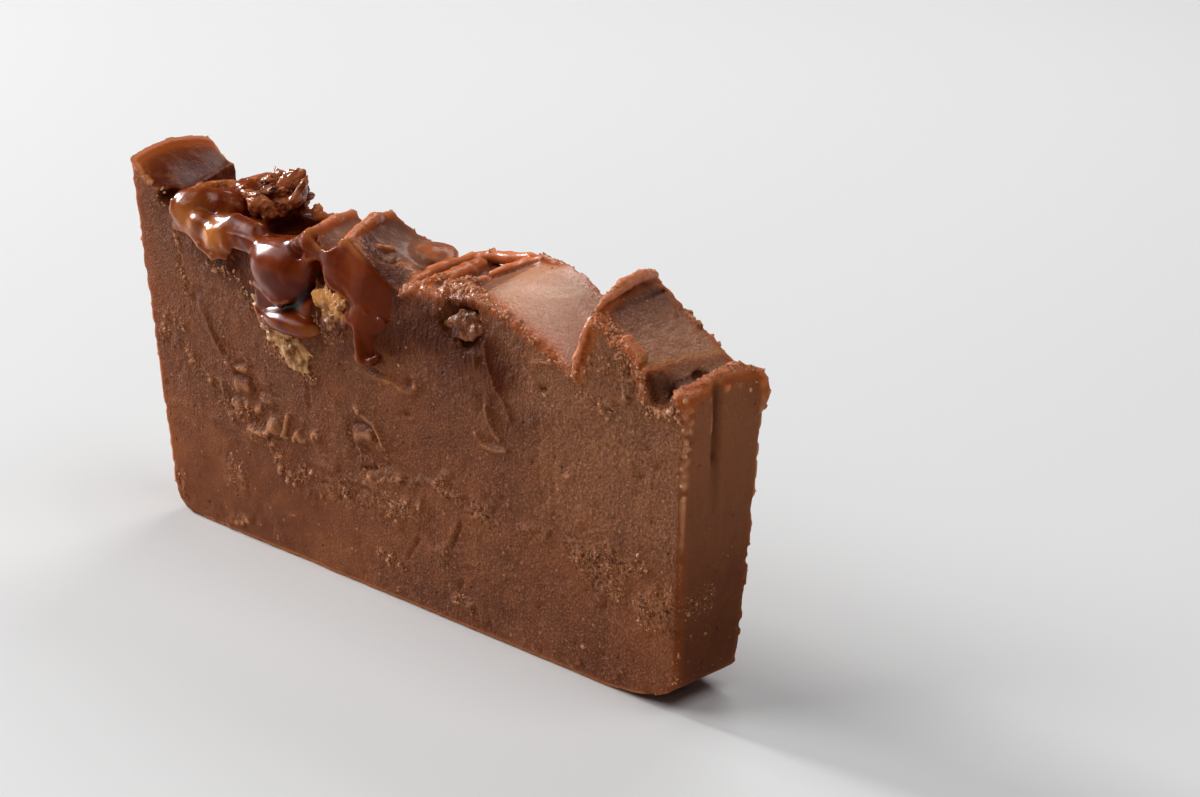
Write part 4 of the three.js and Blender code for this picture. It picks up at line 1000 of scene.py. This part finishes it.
# Clusters: how many, how large (mm), how far apart (mm), and their line of x, y and z.
LUMP_PLACES = [
    (110, 0.4, 1.3, [(13, -8.4, 63.6), (18, -8.6, 64.4), (24, -8.6, 64)]),
    (40, 0.35, 1, [(13.6, -6, 64), (14.4, -1, 63.6)]),
    (90, 0.36, 0.9, [(24, -9.4, 63.4), (32, -9.6, 61), (40, -9.8, 57.6), (44.6, -9.9, 55.4)]),
    (90, 0.4, 1.3, [(50.4, -9, 66.6), (53.6, -9.2, 64.8), (56, -9.3, 63)]),
    (60, 0.36, 0.9, [(56, -9.6, 62), (60.6, -9.6, 59.4), (61.6, -9.8, 56.6)]),
    (70, 0.4, 0.9, [(61.6, -9.9, 53.8), (65, -9.9, 53.4), (68, -9.9, 54.6)]),
    (110, 0.38, 0.9, [(67.6, -9.4, 57.6), (69, -3, 58.8), (69.4, 3, 59.6), (69.6, 7, 58.4), (69.8, 9, 55)]),
    (30, 0.3, 0.8, [(-60, -9.8, 66), (-66.3, -9.9, 63.4)]),
    (14, 0.75, 0.8, [(53.5, 8.8, 63.6), (56.5, 8.9, 61.9)]),
    (40, 0.3, 1, [(-51.5, -10, 54.6), (-45, -10, 53.6), (-39.4, -9.8, 50.4)]),
    (16, 0.5, 1, [(45.2, 9, 65.4), (46, 7.6, 65.2)]),
    (50, 0.34, 0.8, [(3.6, -9.8, 61), (7.6, -8.4, 63.2), (10, -5, 64.2)]),
    (70, 0.3, 1.1, [(-38.6, -9.4, 47.4), (-33, -9.4, 43.4), (-27, -9.3, 40), (-21.6, -9.2, 37.6)]),
    (60, 0.26, 1.2, [(-21.6, -9.5, 51), (-18, -9.4, 47.6), (-13, -9.4, 48.6)]),
]
lump_draw = np.random.default_rng(200)
slopes = np.stack([look_up(g, axes, points) for g in np.gradient(slab, *axes)], -1)
outward = slopes / np.linalg.norm(slopes, axis=1)[:, None]

# Crumbs gather in clumps, along the cut edges, down the upright edge at the right, and in the crumbly seams.
clumps = np.clip(noise(px, py, pz, 5, 201) + 0.2, 0, 1) * np.clip(noise(px, py, pz, 1.6, 202) + 0.6, 0, 1)
off_caramel = np.clip((px - 2) / 10, 0, 1) + np.clip((56 - pz) / 4, 0, 1) + np.clip((py - 4) / 3, 0, 1)
along_edges = np.clip((fine_edge - 0.2) / 0.2, 0, 1) * (pz > 2) * (wide_edge > 0.1)
along_edges *= np.clip((px + 69) / 3, 0.05, 1)
along_edges *= np.clip(off_caramel, 0, 1)
upright = np.clip(1 - np.abs(px - 62 - 0.066 * pz - 4.5) / 1.5, 0, 1) * (py < -8)
upright *= np.clip((pz - 30) / 20, 0.15, 1)
edge_wish = along_edges * (0.6 + 2 * upright) * np.clip((52 - px) / 2, 0.3, 1)
seam_wish = 1.6 * crumbs ** 2 * (wide_edge < 0.2)
wish = clumps * (edge_wish + seam_wish) * (1 - syrup_and_hollow_shade) + 0.0001
chosen = lump_draw.choice(len(points), LOOSE_CRUMBS, replace=False, p=wish / wish.sum())
seats = points[chosen]
leanings = outward[chosen]
sizes = 0.1 + 0.32 * lump_draw.random(len(seats)) ** 6
sizes *= np.where((seats[:, 0] > 20) & (seats[:, 2] < 40), 0.8, 1)
lightness = np.where(fine_edge[chosen] > 0.15, 1, 0.5)
for count, size, spread, line in LUMP_PLACES:
    line = np.array(line, float)
    t = lump_draw.uniform(0, len(line) - 1, count)
    i = t.astype(int)
    spots = line[i] + (line[i + 1] - line[i]) * (t - i)[:, None]
    spots = spots + lump_draw.normal(0, spread * 0.5, (count, 3))
    spots = settle(spots, slab, axes, 4)
    near = np.stack([look_up(g, axes, spots) for g in np.gradient(slab, *axes)], -1)
    seats = np.vstack([seats, spots])
    leanings = np.vstack([leanings, near / np.linalg.norm(near, axis=1)[:, None]])
    sizes = np.append(sizes, size * lump_draw.uniform(0.3, 1, count))
    lightness = np.append(lightness, np.ones(count))


def ball(detail):
    """The vertices and faces of a round ball of triangles."""
    shape = bmesh.new()
    bmesh.ops.create_icosphere(shape, subdivisions=detail, radius=1)
    places = np.array([v.co[:] for v in shape.verts])
    faces = np.array([[v.index for v in f.verts] for f in shape.faces])
    shape.free()
    return places, faces


def lumps(seats, leanings, sizes, lightness, detail, draw):
    """Small broken lumps in one mesh, each sitting a tenth of its size into the surface under it."""
    pebble, pebble_faces = ball(detail)
    total = len(seats)
    turns, _ = np.linalg.qr(draw.normal(size=(total, 3, 3)))
    stretch = draw.uniform(0.45, 1.4, (total, 1, 3))
    u, v, w = pebble.T * 1.4
    dents = 1 + 0.55 * noise(u[None, :] + np.arange(total)[:, None] * 7.3, v[None, :], w[None, :], 1, 205)
    dented = pebble[None] * stretch * dents[:, :, None] * sizes[:, None, None]
    shapes = np.einsum("nij,npj->npi", turns, dented)
    shapes = shapes + (seats - 0.1 * sizes[:, None] * leanings)[:, None]
    shapes[:, :, 2] = np.maximum(shapes[:, :, 2], 0)
    faces = pebble_faces[None] + (np.arange(total) * len(pebble))[:, None, None]
    shades = np.repeat(lightness * draw.random(total), len(pebble))
    return shapes.reshape(-1, 3), faces.reshape(-1, 3), shades


large = sizes > LARGE_CRUMB
(lump_points, lump_faces, shades), (grain_points, grain_faces, grain_shades) = (
    lumps(seats[which], leanings[which], sizes[which], lightness[which], detail, lump_draw)
    for which, detail in ((large, 2), (~large, 1)))
lump_piece = new_mesh("fudge_crumbs", np.vstack([lump_points, grain_points]),
                      np.vstack([lump_faces, grain_faces + len(lump_points)]),
                      {"shade": np.append(shades, grain_shades)})
lump_piece.data.polygons.foreach_set("use_smooth", [False] * len(lump_piece.data.polygons))

# Crumbs of fudge are dry and dull, and paler than the slab, because light soaks right through them.
crumb_look = bpy.data.materials.new("fudge_crumb")
crumb_look.use_nodes = True
tree = crumb_look.node_tree
shader = tree.nodes["Principled BSDF"]
place = add(tree, "TexCoord", output="Object")
shade = add(tree, "Attribute", {"attribute_name": "shade"}, output="Fac")
crystals = add(tree, "TexNoise", {"Scale": per_mm(0.4), "Detail": 2}, {"Vector": place})
crumb_tint = add(tree, "Mix", {"data_type": "RGBA", 6: colour("#b06a40"), 7: colour("#ecb088")}, {0: shade})
crystal_share = add(tree, "MapRange", {"From Min": 0.5, "From Max": 0.8, "To Max": 0.6}, {"Value": crystals})
crumb_tint = add(tree, "Mix", {"data_type": "RGBA", 7: colour("#f0c6a0")}, {0: crystal_share, 6: crumb_tint})
tree.links.new(crumb_tint, shader.inputs["Base Color"])
bump = add(tree, "Bump", {"Distance": 0.15 * MM, "Strength": 0.8}, {"Height": crystals})
tree.links.new(bump, shader.inputs["Normal"])
shader.inputs["Roughness"].default_value = 0.5
shader.inputs["Specular IOR Level"].default_value = 0.08
lump_piece.data.materials.append(crumb_look)
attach(lump_piece, "root")

# ---- Caramel ----
# Soft caramel, sugar and butter boiled to amber. It was poured over the pecans at the left end of the loaf,
# so it coats the bed that they lie in, and the knife dragged it down the front face in lobes and one drip.

# How thick each coat is, how far its depth stays clear of the slab where there is none, and how deep the
# caramel goes in. All in millimetres.
SHEET_THICKNESS = 1.15
FILM_THICKNESS = 0.8
BED_THICKNESS = 0.9
SMEAR_THICKNESS = 1.05
CLEAR = 1.5
CARAMEL_DEPTH = 1.4
CARAMEL_STEP = 0.34
caramel_axes = tuple(np.arange(low, high, CARAMEL_STEP) for low, high in ((-63, 9), (-14, 11.8), (42, 72.6)))
cx, cy, cz = np.meshgrid(*caramel_axes, indexing="ij")
caramel_places = np.stack([cx.ravel(), cy.ravel(), cz.ravel()], -1)
under_coat = look_up(slab, axes, caramel_places).reshape(cx.shape)
facing_front = look_up(faces - rims, axes, caramel_places).reshape(cx.shape)
smoothed = blurred(under_coat, 2)
flat_x, flat_z = caramel_axes[0][:, None], caramel_axes[2][None, :]
wander_x = flat_x + 0.5 * noise(flat_x, 5, flat_z, 2.4, 101)
wander_z = flat_z + 0.5 * noise(flat_x, 15, flat_z, 2.4, 102)


def inside(x, z, outline):
    """How far each place lies inside a closed outline: minus is outside."""
    outline = np.array(outline, float)
    depth = away(x, z, np.vstack([outline, outline[:1]]))
    crossings = np.zeros(depth.shape, int)
    for (ax, az), (bx, bz) in zip(outline, np.roll(outline, -1, 0)):
        if az == bz:
            continue
        meets = ((az > z) != (bz > z)) & (x < (bx - ax) * (z - az) / (bz - az) + ax)
        crossings += meets
    return np.where(crossings % 2 == 1, depth, -depth)


# The sheet that was dragged over the front of the second and third swirls, down to the drip.
SHEET = [(-23, 62), (-21, 61.6), (-18.6, 61.4), (-16.6, 59.8), (-15.6, 58.4), (-14, 57.7), (-12, 57),
         (-9.8, 55.4), (-11.6, 53.6), (-13, 51.2), (-10.4, 50.4), (-9.7, 47), (-8.6, 44.4), (-7.2, 44.2),
         (-5.2, 45.6), (-4.4, 47), (-4.6, 50), (4, 54), (8, 58), (12, 61), (10, 66), (4, 63), (-6, 70),
         (-16, 72), (-26, 72)]
# The film round the nuts at the left.
FILM = [(-62, 62.6), (-59, 60.6), (-56.4, 59.4), (-52, 57.4), (-48.4, 55.6), (-45.8, 56.2), (-43.8, 59),
        (-41, 60.6), (-38.6, 59.6), (-37.6, 55), (-38, 52), (-37.8, 48.6), (-34.6, 46.6), (-31.5, 45.6),
        (-28, 46.4), (-22.6, 47), (-21.6, 49), (-22.4, 53), (-21.6, 58), (-21, 62), (-22, 72), (-62, 72)]

sheet_depth = inside(wander_x, wander_z, SHEET)
film_depth = inside(wander_x, wander_z, FILM)
fade = np.clip((flat_x + 9.5 - 0.3 * (flat_z - 47)) / 9, 0, 1)
sheet_thick = SHEET_THICKNESS * np.sqrt(np.clip(sheet_depth / 1.6, 0, 1)) - 1.6 * fade
sheet_thick = sheet_thick - 0.35 * (sheet_depth < 0)
film_thick = FILM_THICKNESS * np.sqrt(np.clip(film_depth, 0, 1)) - 0.35 * (film_depth < 0)
coat = np.maximum(sheet_thick, film_thick) + 0.1 * noise(flat_x, 25, flat_z, 5, 103)
coat = np.where(np.maximum(sheet_depth, film_depth) > -0.2, coat, -1.2)[:, None, :]
front_only = np.clip(facing_front / 0.8 + np.clip((-24 - cx) / 4, 0.25, 1), 0, 1) * (cy < -4)
caramel = smoothed - coat * front_only + CLEAR * (1 - front_only)

# The bed between the block and the second swirl is coated too.
bed = inside(cx[:, :, 0], cy[:, :, 0], [(-61, -11), (-24, -11), (-24, -7), (-30, 0), (-36, 6), (-60, 8)])
bed_coat = smoothed - BED_THICKNESS * np.clip(bed / 2 + 0.5, -0.6, 1)[:, :, None]
bed_coat = bed_coat - 0.2 * noise(cx, cy, cz, 4, 104)
bed_coat = np.maximum(bed_coat, 59 - cz)
caramel = soft_min(caramel, bed_coat, 0.6)

# The vein runs through to the back face, where the knife smeared it a little.
BACK_SMEAR = [(-52, 58.6), (-47, 61.6), (-40, 61.4), (-33, 60.4), (-31.6, 56.6), (-34.4, 54),
              (-36.4, 50.6), (-38.2, 50.4), (-39.4, 54), (-44, 54.6), (-49, 55.6)]
back_depth = inside(wander_x, wander_z, BACK_SMEAR)[:, None, :]
back_only = np.clip((cy - 5.5) / 2, 0, 1)
smear_thick = SMEAR_THICKNESS * np.sqrt(np.clip(back_depth / 1.4, 0, 1)) - 0.6 * (back_depth < 0)
back_coat = smoothed - smear_thick * back_only + CLEAR * (1 - back_only)
caramel = soft_min(caramel, back_coat, 0.3)

# The hollow beside the pecan half stays open.
roll(caramel, caramel_axes, [(-40, -1.5, 64.6, 3), (-37.6, 2.6, 63.6, 3.4)], 0.8, carve=True)

# Lobes, lips and drips, roughly from left to right: blend, then the roll. Then pools round and over nuts.
CARAMEL_ROLLS = [
    (0.8, [(-60.8, -9.4, 62.4, 1.1), (-58, -9.6, 60.8, 1), (-54.6, -9.8, 59.6, 0.8)]),
    (0.7, [(-56.4, -9.7, 59, 0.5), (-52.4, -10.5, 57.7, 0.7), (-48.6, -10.6, 56.3, 0.7),
           (-46.6, -10.2, 56.8, 0.6)]),
    (1.0, [(-46.2, -9.8, 61.6, 1.2), (-44.8, -10.2, 59.2, 1), (-44.4, -10, 58.2, 0.7)]),
    (1.6, [(-50, -8, 62, 1.6), (-45, -7.6, 62.6, 2), (-39, -7.6, 62.2, 2)]),
    (0.6, [(-38.2, -9.9, 53.3, 0.6), (-35.6, -10.7, 53.7, 0.75), (-32.4, -11.2, 53.1, 0.8),
           (-30, -11.5, 52, 0.8), (-28.2, -11.6, 51.6, 0.8), (-26.4, -11.2, 52.6, 0.7)]),
    (1.2, [(-30.6, -10, 56, 2.6), (-28.4, -10.4, 53.4, 1.6)]),
    (1.4, [(-33, -8, 60.6, 1), (-29, -8.6, 61.8, 1.1), (-24, -9.4, 63.8, 1.3), (-21, -9.8, 66, 1.2)]),
    (0.5, [(-37.4, -9.8, 48.6, 0.5), (-35.4, -10.2, 46.9, 0.6), (-31.6, -10.4, 46.4, 0.6),
           (-28, -10.4, 46.8, 0.5), (-24.4, -10.1, 46.3, 0.5), (-22, -9.9, 47.2, 0.5)]),
    (0.7, [(-21.4, -10, 61.2, 0.7), (-18.6, -10.6, 61.4, 0.7), (-16.4, -10.7, 59.8, 0.7),
           (-14.4, -10.6, 58.2, 0.7), (-12, -10.5, 57.2, 0.6), (-9.8, -10.2, 55.8, 0.4)]),
    (1.0, [(-8.6, -9.4, 52, 1), (-8, -9.9, 48.4, 1.1), (-7.4, -10.2, 46, 1.2), (-6.4, -10.1, 45.4, 0.8)]),
    (0.4, [(-6.8, -10.2, 45.3, 0.9), (-4.8, -10.1, 45.8, 0.8), (-3.4, -9.8, 46.9, 0.6)]),
    (0.5, [(-6.8, -10.5, 55.8, 0.35), (-5.4, -10.5, 55, 0.35)]),
    (0.5, [(-2.6, -10.3, 54.2, 0.35), (-0.8, -10.2, 53.9, 0.3)]),
    (0.8, [(-21.6, -10, 64, 1.2), (-20.4, -9.8, 66.2, 0.9)]),
]
for blend, line in CARAMEL_ROLLS:
    roll(caramel, caramel_axes, line, blend)
egg(caramel, caramel_axes, (-29.8, -8.8, 57.4), (7.4, 4.4, 5.6), 1.4)
egg(caramel, caramel_axes, (-33.4, -9.6, 57.4), (3.6, 2.8, 3.6), 1.8)
egg(caramel, caramel_axes, (-27.2, -9.8, 48), (7.6, 3, 2.3), 0.7)
egg(caramel, caramel_axes, (-48.6, -9.5, 60), (3.2, 2.2, 2.8), 0.7, ragged=0.25, seed=105)
egg(caramel, caramel_axes, (-53.4, -9.2, 61.4), (3.4, 2, 2.2), 0.9)
egg(caramel, caramel_axes, (-58.2, -7.4, 63), (4, 3.4, 3.4), 1.4, ragged=0.1, seed=106)
roll(caramel, caramel_axes, [(-60, -7.6, 64.6, 1.6), (-56.6, -6, 65.4, 1.8), (-53, -4.6, 65.4, 1.6)], 1.4)
egg(caramel, caramel_axes, (-52.6, -3, 63.8), (4.4, 4.4, 3), 1.2, ragged=0.2, seed=107)
egg(caramel, caramel_axes, (-51, 1.6, 66), (4, 4, 2.6), 1.2, ragged=0.4, seed=108)
egg(caramel, caramel_axes, (-13, -9.8, 61.6), (4, 1.9, 4), 1.2)

# The dark gaps under the lobe and between it and the sheet.
roll(caramel, caramel_axes, [(-34.6, -12, 51.5, 0.4), (-31, -12.4, 51.3, 0.5), (-28, -12.4, 51, 0.7),
                             (-25.4, -11.6, 51.4, 1), (-23.2, -11, 53.4, 0.9),
                             (-22.2, -10.6, 56, 0.9)], 0.3, carve=True)
egg(caramel, caramel_axes, (-19, -11.6, 59.2), (3, 3.2, 2.6), 0.4, carve=True, ragged=0.2, seed=109)

# Only the outer part shows, so the caramel ends a little way into the slab.
caramel = soft_max(caramel, -(under_coat + CARAMEL_DEPTH), 0.3)

points, squares = skin(caramel, caramel_axes)
points = settle(points, caramel, caramel_axes)
# The thin places and edges of the caramel are painted paler, as a glow of light through and along them.
inside_part = np.clip(0.5 - caramel / CARAMEL_STEP, 0, 1)
thin_glow = 1 - 2 * look_up(blurred(inside_part, 3), caramel_axes, points)
px, py, pz = points.T
thin_glow *= np.clip((-2 - px) / 6, 0.2, 1)

# Painted shade: in the hollow by the pecan half, and in the gaps under the lobe. Amber: over the nuts.
hollow = np.exp(-((px + 37.6) ** 2 + (py - 1) ** 2) / 34) * (py > -7) * np.clip((66 - pz) / 2, 0, 1)
gaps_path = [(-28, 51.1), (-25.4, 51.5), (-22.6, 54.6), (-19.6, 58)]
painted_shade_gaps = np.clip(1.5 - away(px, pz, gaps_path) / 0.9, 0, 1) * np.clip((py + 12) / 0.6, 0, 1) * (py < -6)
first_nut = np.exp(-((px + 48.2) ** 2 + (pz - 60.4) ** 2) / 7) * (py < -5)
second_nut = 0.55 * np.exp(-((px + 57) ** 2 + (pz - 61.6) ** 2) / 12)
caramel_piece = new_mesh("caramel_pour", points, squares, {
    "thin_glow": thin_glow,
    "rightward": np.clip((px + 13 - 0.3 * (pz - 47)) / 8, 0, 1) * (py < -7),
    "hollow_and_gap_shade": np.maximum(hollow, painted_shade_gaps),
    "amber": np.maximum(first_nut, second_nut),
})

# Caramel: glassy and wet, amber where it holds a nut, painted paler where it is thin as a glow of light
# through it, and painted almost black as shade in the hollow and the gaps.
caramel_look = bpy.data.materials.new("soft_caramel")
caramel_look.use_nodes = True
tree = caramel_look.node_tree
shader = tree.nodes["Principled BSDF"]
place = add(tree, "TexCoord", output="Object")
thin_glow, rightward, hollow_and_gap_shade, amber = (add(tree, "Attribute", {"attribute_name": mark}, output="Fac")
                                for mark in ("thin_glow", "rightward", "hollow_and_gap_shade", "amber"))
veins = add(tree, "TexNoise", {"Scale": per_mm(6), "Detail": 3, "Distortion": 0.6}, {"Vector": place})
fine = add(tree, "TexNoise", {"Scale": per_mm(1.2), "Detail": 2}, {"Vector": place})
vein_share = add(tree, "MapRange", {"From Min": 0.38, "From Max": 0.62}, {"Value": veins})
body = add(tree, "Mix", {"data_type": "RGBA", 6: colour("#641e04"), 7: colour("#883810")}, {0: vein_share})
caramel_glow_share = add(tree, "MapRange", {"From Min": 0.2, "From Max": 0.6, "To Max": 0.8}, {"Value": thin_glow})
for code, share in (("#68260a", rightward), ("#c87a44", caramel_glow_share), ("#e48a40", amber), ("#280602", hollow_and_gap_shade)):
    body = add(tree, "Mix", {"data_type": "RGBA", 7: colour(code)}, {0: share, 6: body})
tree.links.new(body, shader.inputs["Base Color"])
gloss = add(tree, "MapRange", {"From Min": 0.3, "From Max": 0.7, "To Min": 0.2, "To Max": 0.27},
            {"Value": fine})
gloss = add(tree, "Mix", {"data_type": "FLOAT", 3: 0.26}, {0: rightward, 2: gloss})
tree.links.new(gloss, shader.inputs["Roughness"])
bump = add(tree, "Bump", {"Distance": 0.08 * MM, "Strength": 0.3}, {"Height": fine})
tree.links.new(bump, shader.inputs["Normal"])
shader.inputs["Subsurface Weight"].default_value = 0.1
shader.inputs["Subsurface Radius"].default_value = (1, 0.25, 0.05)
shader.inputs["Subsurface Scale"].default_value = 1.6 * MM
shader.inputs["Specular IOR Level"].default_value = 0.15
caramel_piece.data.materials.append(caramel_look)

# The sheet at the right was scraped thin by the knife, so it has less of the wet shine.
scraped_look = caramel_look.copy()
scraped_look.name = "scraped_caramel"
scraped_look.node_tree.nodes["Principled BSDF"].inputs["Specular IOR Level"].default_value = 0.045
caramel_piece.data.materials.append(scraped_look)
scraped = px[squares[:, 0]] > -21.5
caramel_piece.data.polygons.foreach_set("material_index", scraped.astype(np.int32))
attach(caramel_piece, "root")
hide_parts("caramel")

# ---- Pecans ----
# Five pieces of roasted pecan that were stirred into the caramel: a whole kernel lying across the slice, a
# wrinkled half that stands proud at the back, and three that the knife cut through in the front face.

ball_points, ball_faces = ball(6)
flake_points, flake_faces = ball(4)


def turned(points, about_y, about_z):
    """Points turned about Y and then Z, in degrees, as in the CAD part."""
    a, b = math.radians(about_y), math.radians(about_z)
    x = points[:, 0] * math.cos(a) + points[:, 2] * math.sin(a)
    z = -points[:, 0] * math.sin(a) + points[:, 2] * math.cos(a)
    y = points[:, 1]
    return np.stack([x * math.cos(b) - y * math.sin(b), x * math.sin(b) + y * math.cos(b), z], -1)


# Each pecan's centre, radii, turns about Y and Z, how deep its wrinkles are, and how broken it is.
PECANS = {
    "nut_across": ((-59.2, -1.6, 62.9), (4.3, 8.9, 4.2), 0, -14, 0.07, 0.08),
    "nut_pecan_half": ((-46.8, 3, 65.2), (7.2, 5.2, 3.6), -8, 12, 0.18, 0.12),
    "nut_golden": ((-16.4, -7.4, 52.9), (5.8, 3.2, 5.4), 15, 0, 0.12, 0.2),
    "nut_crumbled": ((-30.6, -7.1, 44.4), (11.4, 3.2, 4.6), 32, 0, 0.06, 0.26),
    "nut_sunk": ((18.4, -6.6, 57.4), (5.6, 3, 3.6), -10, 0, 0.12, 0.17),
}
# Its colours in the grooves and on the ridges, and its roughness, lowest where caramel coats it.
PECAN_TINTS = {
    "nut_across": ("#8a3a12", "#c4702e", 0.18), "nut_pecan_half": ("#3c120c", "#b8683c", 0.2),
    "nut_golden": ("#6e300c", "#f0a458", 0.28), "nut_crumbled": ("#844a1e", "#dea468", 0.34),
    "nut_sunk": ("#54220c", "#96562e", 0.34),
}
# Flakes that broke from the half kernel and stand round it: centre, radii and turns.
FLAKES = [
    ((-50.6, 3.4, 68), (3.8, 2.4, 0.9), -14, 20), ((-46, 4.2, 68.9), (3.6, 0.9, 1.6), 20, -16),
    ((-42, 3, 69.2), (3.4, 0.8, 2), -38, 18), ((-39, 2.8, 67.6), (0.9, 2.6, 2.8), 24, 30),
    ((-51, -0.8, 65), (3.4, 1.1, 2), -24, 10), ((-44.4, -2.2, 65), (3.2, 0.9, 2.4), 35, 14),
]
for n, (name, (centre, radii, about_y, about_z, wrinkle, broken)) in enumerate(PECANS.items()):
    p = ball_points
    long = 1 if name == "nut_across" else 0
    across_axis = 1 - long
    around = np.arctan2(p[:, 2], p[:, across_axis])
    radii = np.array(radii)
    sized = p.T * radii[:, None]
    winding = 5 * around + 2 * p[:, long] + 1.6 * noise(*p.T, 0.6, 110 + n)
    grooves = wrinkle * np.cos(winding) * (1 - p[:, long] ** 4)
    crags = broken * rough(*sized, 2.6, 120 + n, 4)
    ridges = wrinkle * 0.5 * (0.5 - np.abs(noise(*sized, 1.7, 130 + n)) * 2)
    shape = turned(p * (1 + grooves + crags + ridges)[:, None] * radii, about_y, about_z) + centre
    crests_and_shade = grooves / wrinkle * 0.5 + 0.5
    # The golden piece is painted darker low down and paler high up, as painted shade and light.
    if name == "nut_golden":
        crests_and_shade = crests_and_shade + np.clip((shape[:, 2] - 52.6) / 0.9, -2.4, 0.6)
    nut_faces = ball_faces
    if name == "nut_pecan_half":
        crests_and_shade = crests_and_shade - 0.6
        for m, (middle, flake_radii, flake_y, flake_z) in enumerate(FLAKES):
            f = flake_points
            torn = 1 + 0.42 * rough(*((f * np.array(flake_radii)).T + 9 * m), 2.2, 140, 4)
            flake = turned(f * torn[:, None] * np.array(flake_radii), flake_y, flake_z) + middle
            nut_faces = np.vstack([nut_faces, flake_faces + len(shape)])
            shape = np.vstack([shape, flake])
            crests_and_shade = np.append(crests_and_shade, 1.1 + 2.4 * (torn - 1))
    piece = new_mesh("pecan_" + name[4:], shape, nut_faces, {"crest": crests_and_shade})

    # Roasted pecan: papery brown skin, dark in the grooves, partly as painted shade, and paler on the ridges
    # and
    #     # where it broke.
    dark, pale, roughness = PECAN_TINTS[name]
    look = bpy.data.materials.new("roasted_" + name)
    look.use_nodes = True
    tree = look.node_tree
    shader = tree.nodes["Principled BSDF"]
    place = add(tree, "TexCoord", output="Object")
    crest = add(tree, "Attribute", {"attribute_name": "crest"}, output="Fac")
    flecks = add(tree, "TexNoise", {"Scale": per_mm(2), "Detail": 4, "Roughness": 0.65}, {"Vector": place})
    share = add(tree, "MapRange", {"From Min": 0.4, "From Max": 0.6}, {"Value": flecks})
    share = add(tree, "Math", {"operation": "MULTIPLY_ADD", 1: 0.4}, {0: crest, 2: share})
    tint = add(tree, "Mix", {"data_type": "RGBA", 6: colour(dark), 7: colour(pale)}, {0: share})
    tree.links.new(tint, shader.inputs["Base Color"])
    grains = add(tree, "TexVoronoi", {"Scale": per_mm(0.9)}, {"Vector": place})
    grains = add(tree, "Math", {"operation": "MULTIPLY_ADD", 1: 0.8}, {0: grains, 2: flecks})
    bump = add(tree, "Bump", {"Distance": 0.4 * MM, "Strength": 0.7}, {"Height": grains})
    tree.links.new(bump, shader.inputs["Normal"])
    shader.inputs["Roughness"].default_value = roughness
    shader.inputs["Specular IOR Level"].default_value = 0.2
    piece.data.materials.append(look)
    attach(piece, "root")
    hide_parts(name)

# ---- Floor, lights and camera ----
# A wide sheet of matt pale paper. Two soft boxes light the slice from the left, one from above, and two
# small ones give caramel and satin their shine. The camera has an 85 mm lens and looks down a little.

FLOOR_REACH = 3000
floor_corners = [(x * FLOOR_REACH, y * FLOOR_REACH, 0) for x, y in ((-1, -1), (1, -1), (1, 1), (-1, 1))]
floor = new_mesh("floor", floor_corners, [(0, 1, 2, 3)])
paper = bpy.data.materials.new("floor_paper")
paper.use_nodes = True
paper.node_tree.nodes["Principled BSDF"].inputs["Base Color"].default_value = colour("#dcdcdc")
paper.node_tree.nodes["Principled BSDF"].inputs["Roughness"].default_value = 0.6
floor.data.materials.append(paper)


def aim(thing, place, target):
    """Puts a light or camera at a place, looking at a target, both in millimetres."""
    place, target = Vector(place) * MM, Vector(target) * MM
    thing.location = place
    thing.rotation_euler = (target - place).to_track_quat("-Z", "Y").to_euler()


AZIMUTH, ELEVATION, DISTANCE = math.radians(44.44), math.radians(19.4), 477.8
AIM = (41.94, 0, 47.88)
flat = math.cos(ELEVATION)
towards = (math.sin(AZIMUTH) * flat, -math.cos(AZIMUTH) * flat, math.sin(ELEVATION))
lens = bpy.data.cameras.new("camera")
lens.lens = 85
lens.sensor_width = 36
lens.clip_start = 0.01
lens.dof.use_dof = False
camera = bpy.data.objects.new("camera", lens)
bpy.context.scene.collection.objects.link(camera)
aim(camera, [a + DISTANCE * t for a, t in zip(AIM, towards)], AIM)
bpy.context.scene.camera = camera

# White soft boxes round the middle of the slice. One that is for shine only is seen in wet surfaces but adds
# nothing to the light on dull ones.
MIDDLE = (0, 0, 35)
# Name, direction, distance (mm), size (mm) and watts, then whether it is for shine only.
SOFTBOXES = [
    ("key_front_left", (-0.6, -0.6, 0.8), 2000, (1100, 1100), 18, False),
    ("key_left", (-0.9, -0.08, 0.46), 2000, (340, 340), 26, False),
    ("overhead", (0.4, 0.1, 1), 2000, (1200, 1200), 11.5, False),
    ("wet_shine", (-0.88, -0.17, 0.38), 1500, (460, 460), 40, True),
    ("sheen_behind", (-0.28, 0.67, 0.68), 900, (420, 300), 2, False),
]
for name, direction, far, size, watts, shine_only in SOFTBOXES:
    light = bpy.data.lights.new(name, "AREA")
    light.shape = "RECTANGLE"
    light.size, light.size_y = size[0] * MM, size[1] * MM
    light.energy = watts
    softbox = bpy.data.objects.new(name, light)
    bpy.context.scene.collection.objects.link(softbox)
    softbox.visible_diffuse = not shine_only
    length = math.sqrt(sum(d * d for d in direction))
    aim(softbox, [d / length * far + c for d, c in zip(direction, MIDDLE)], MIDDLE)

world = bpy.data.worlds.new("studio")
world.use_nodes = True
world.node_tree.nodes["Background"].inputs["Color"].default_value = colour("#ffffff")
world.node_tree.nodes["Background"].inputs["Strength"].default_value = 0.06
bpy.context.scene.world = world
bpy.context.scene.view_settings.view_transform = "Standard"
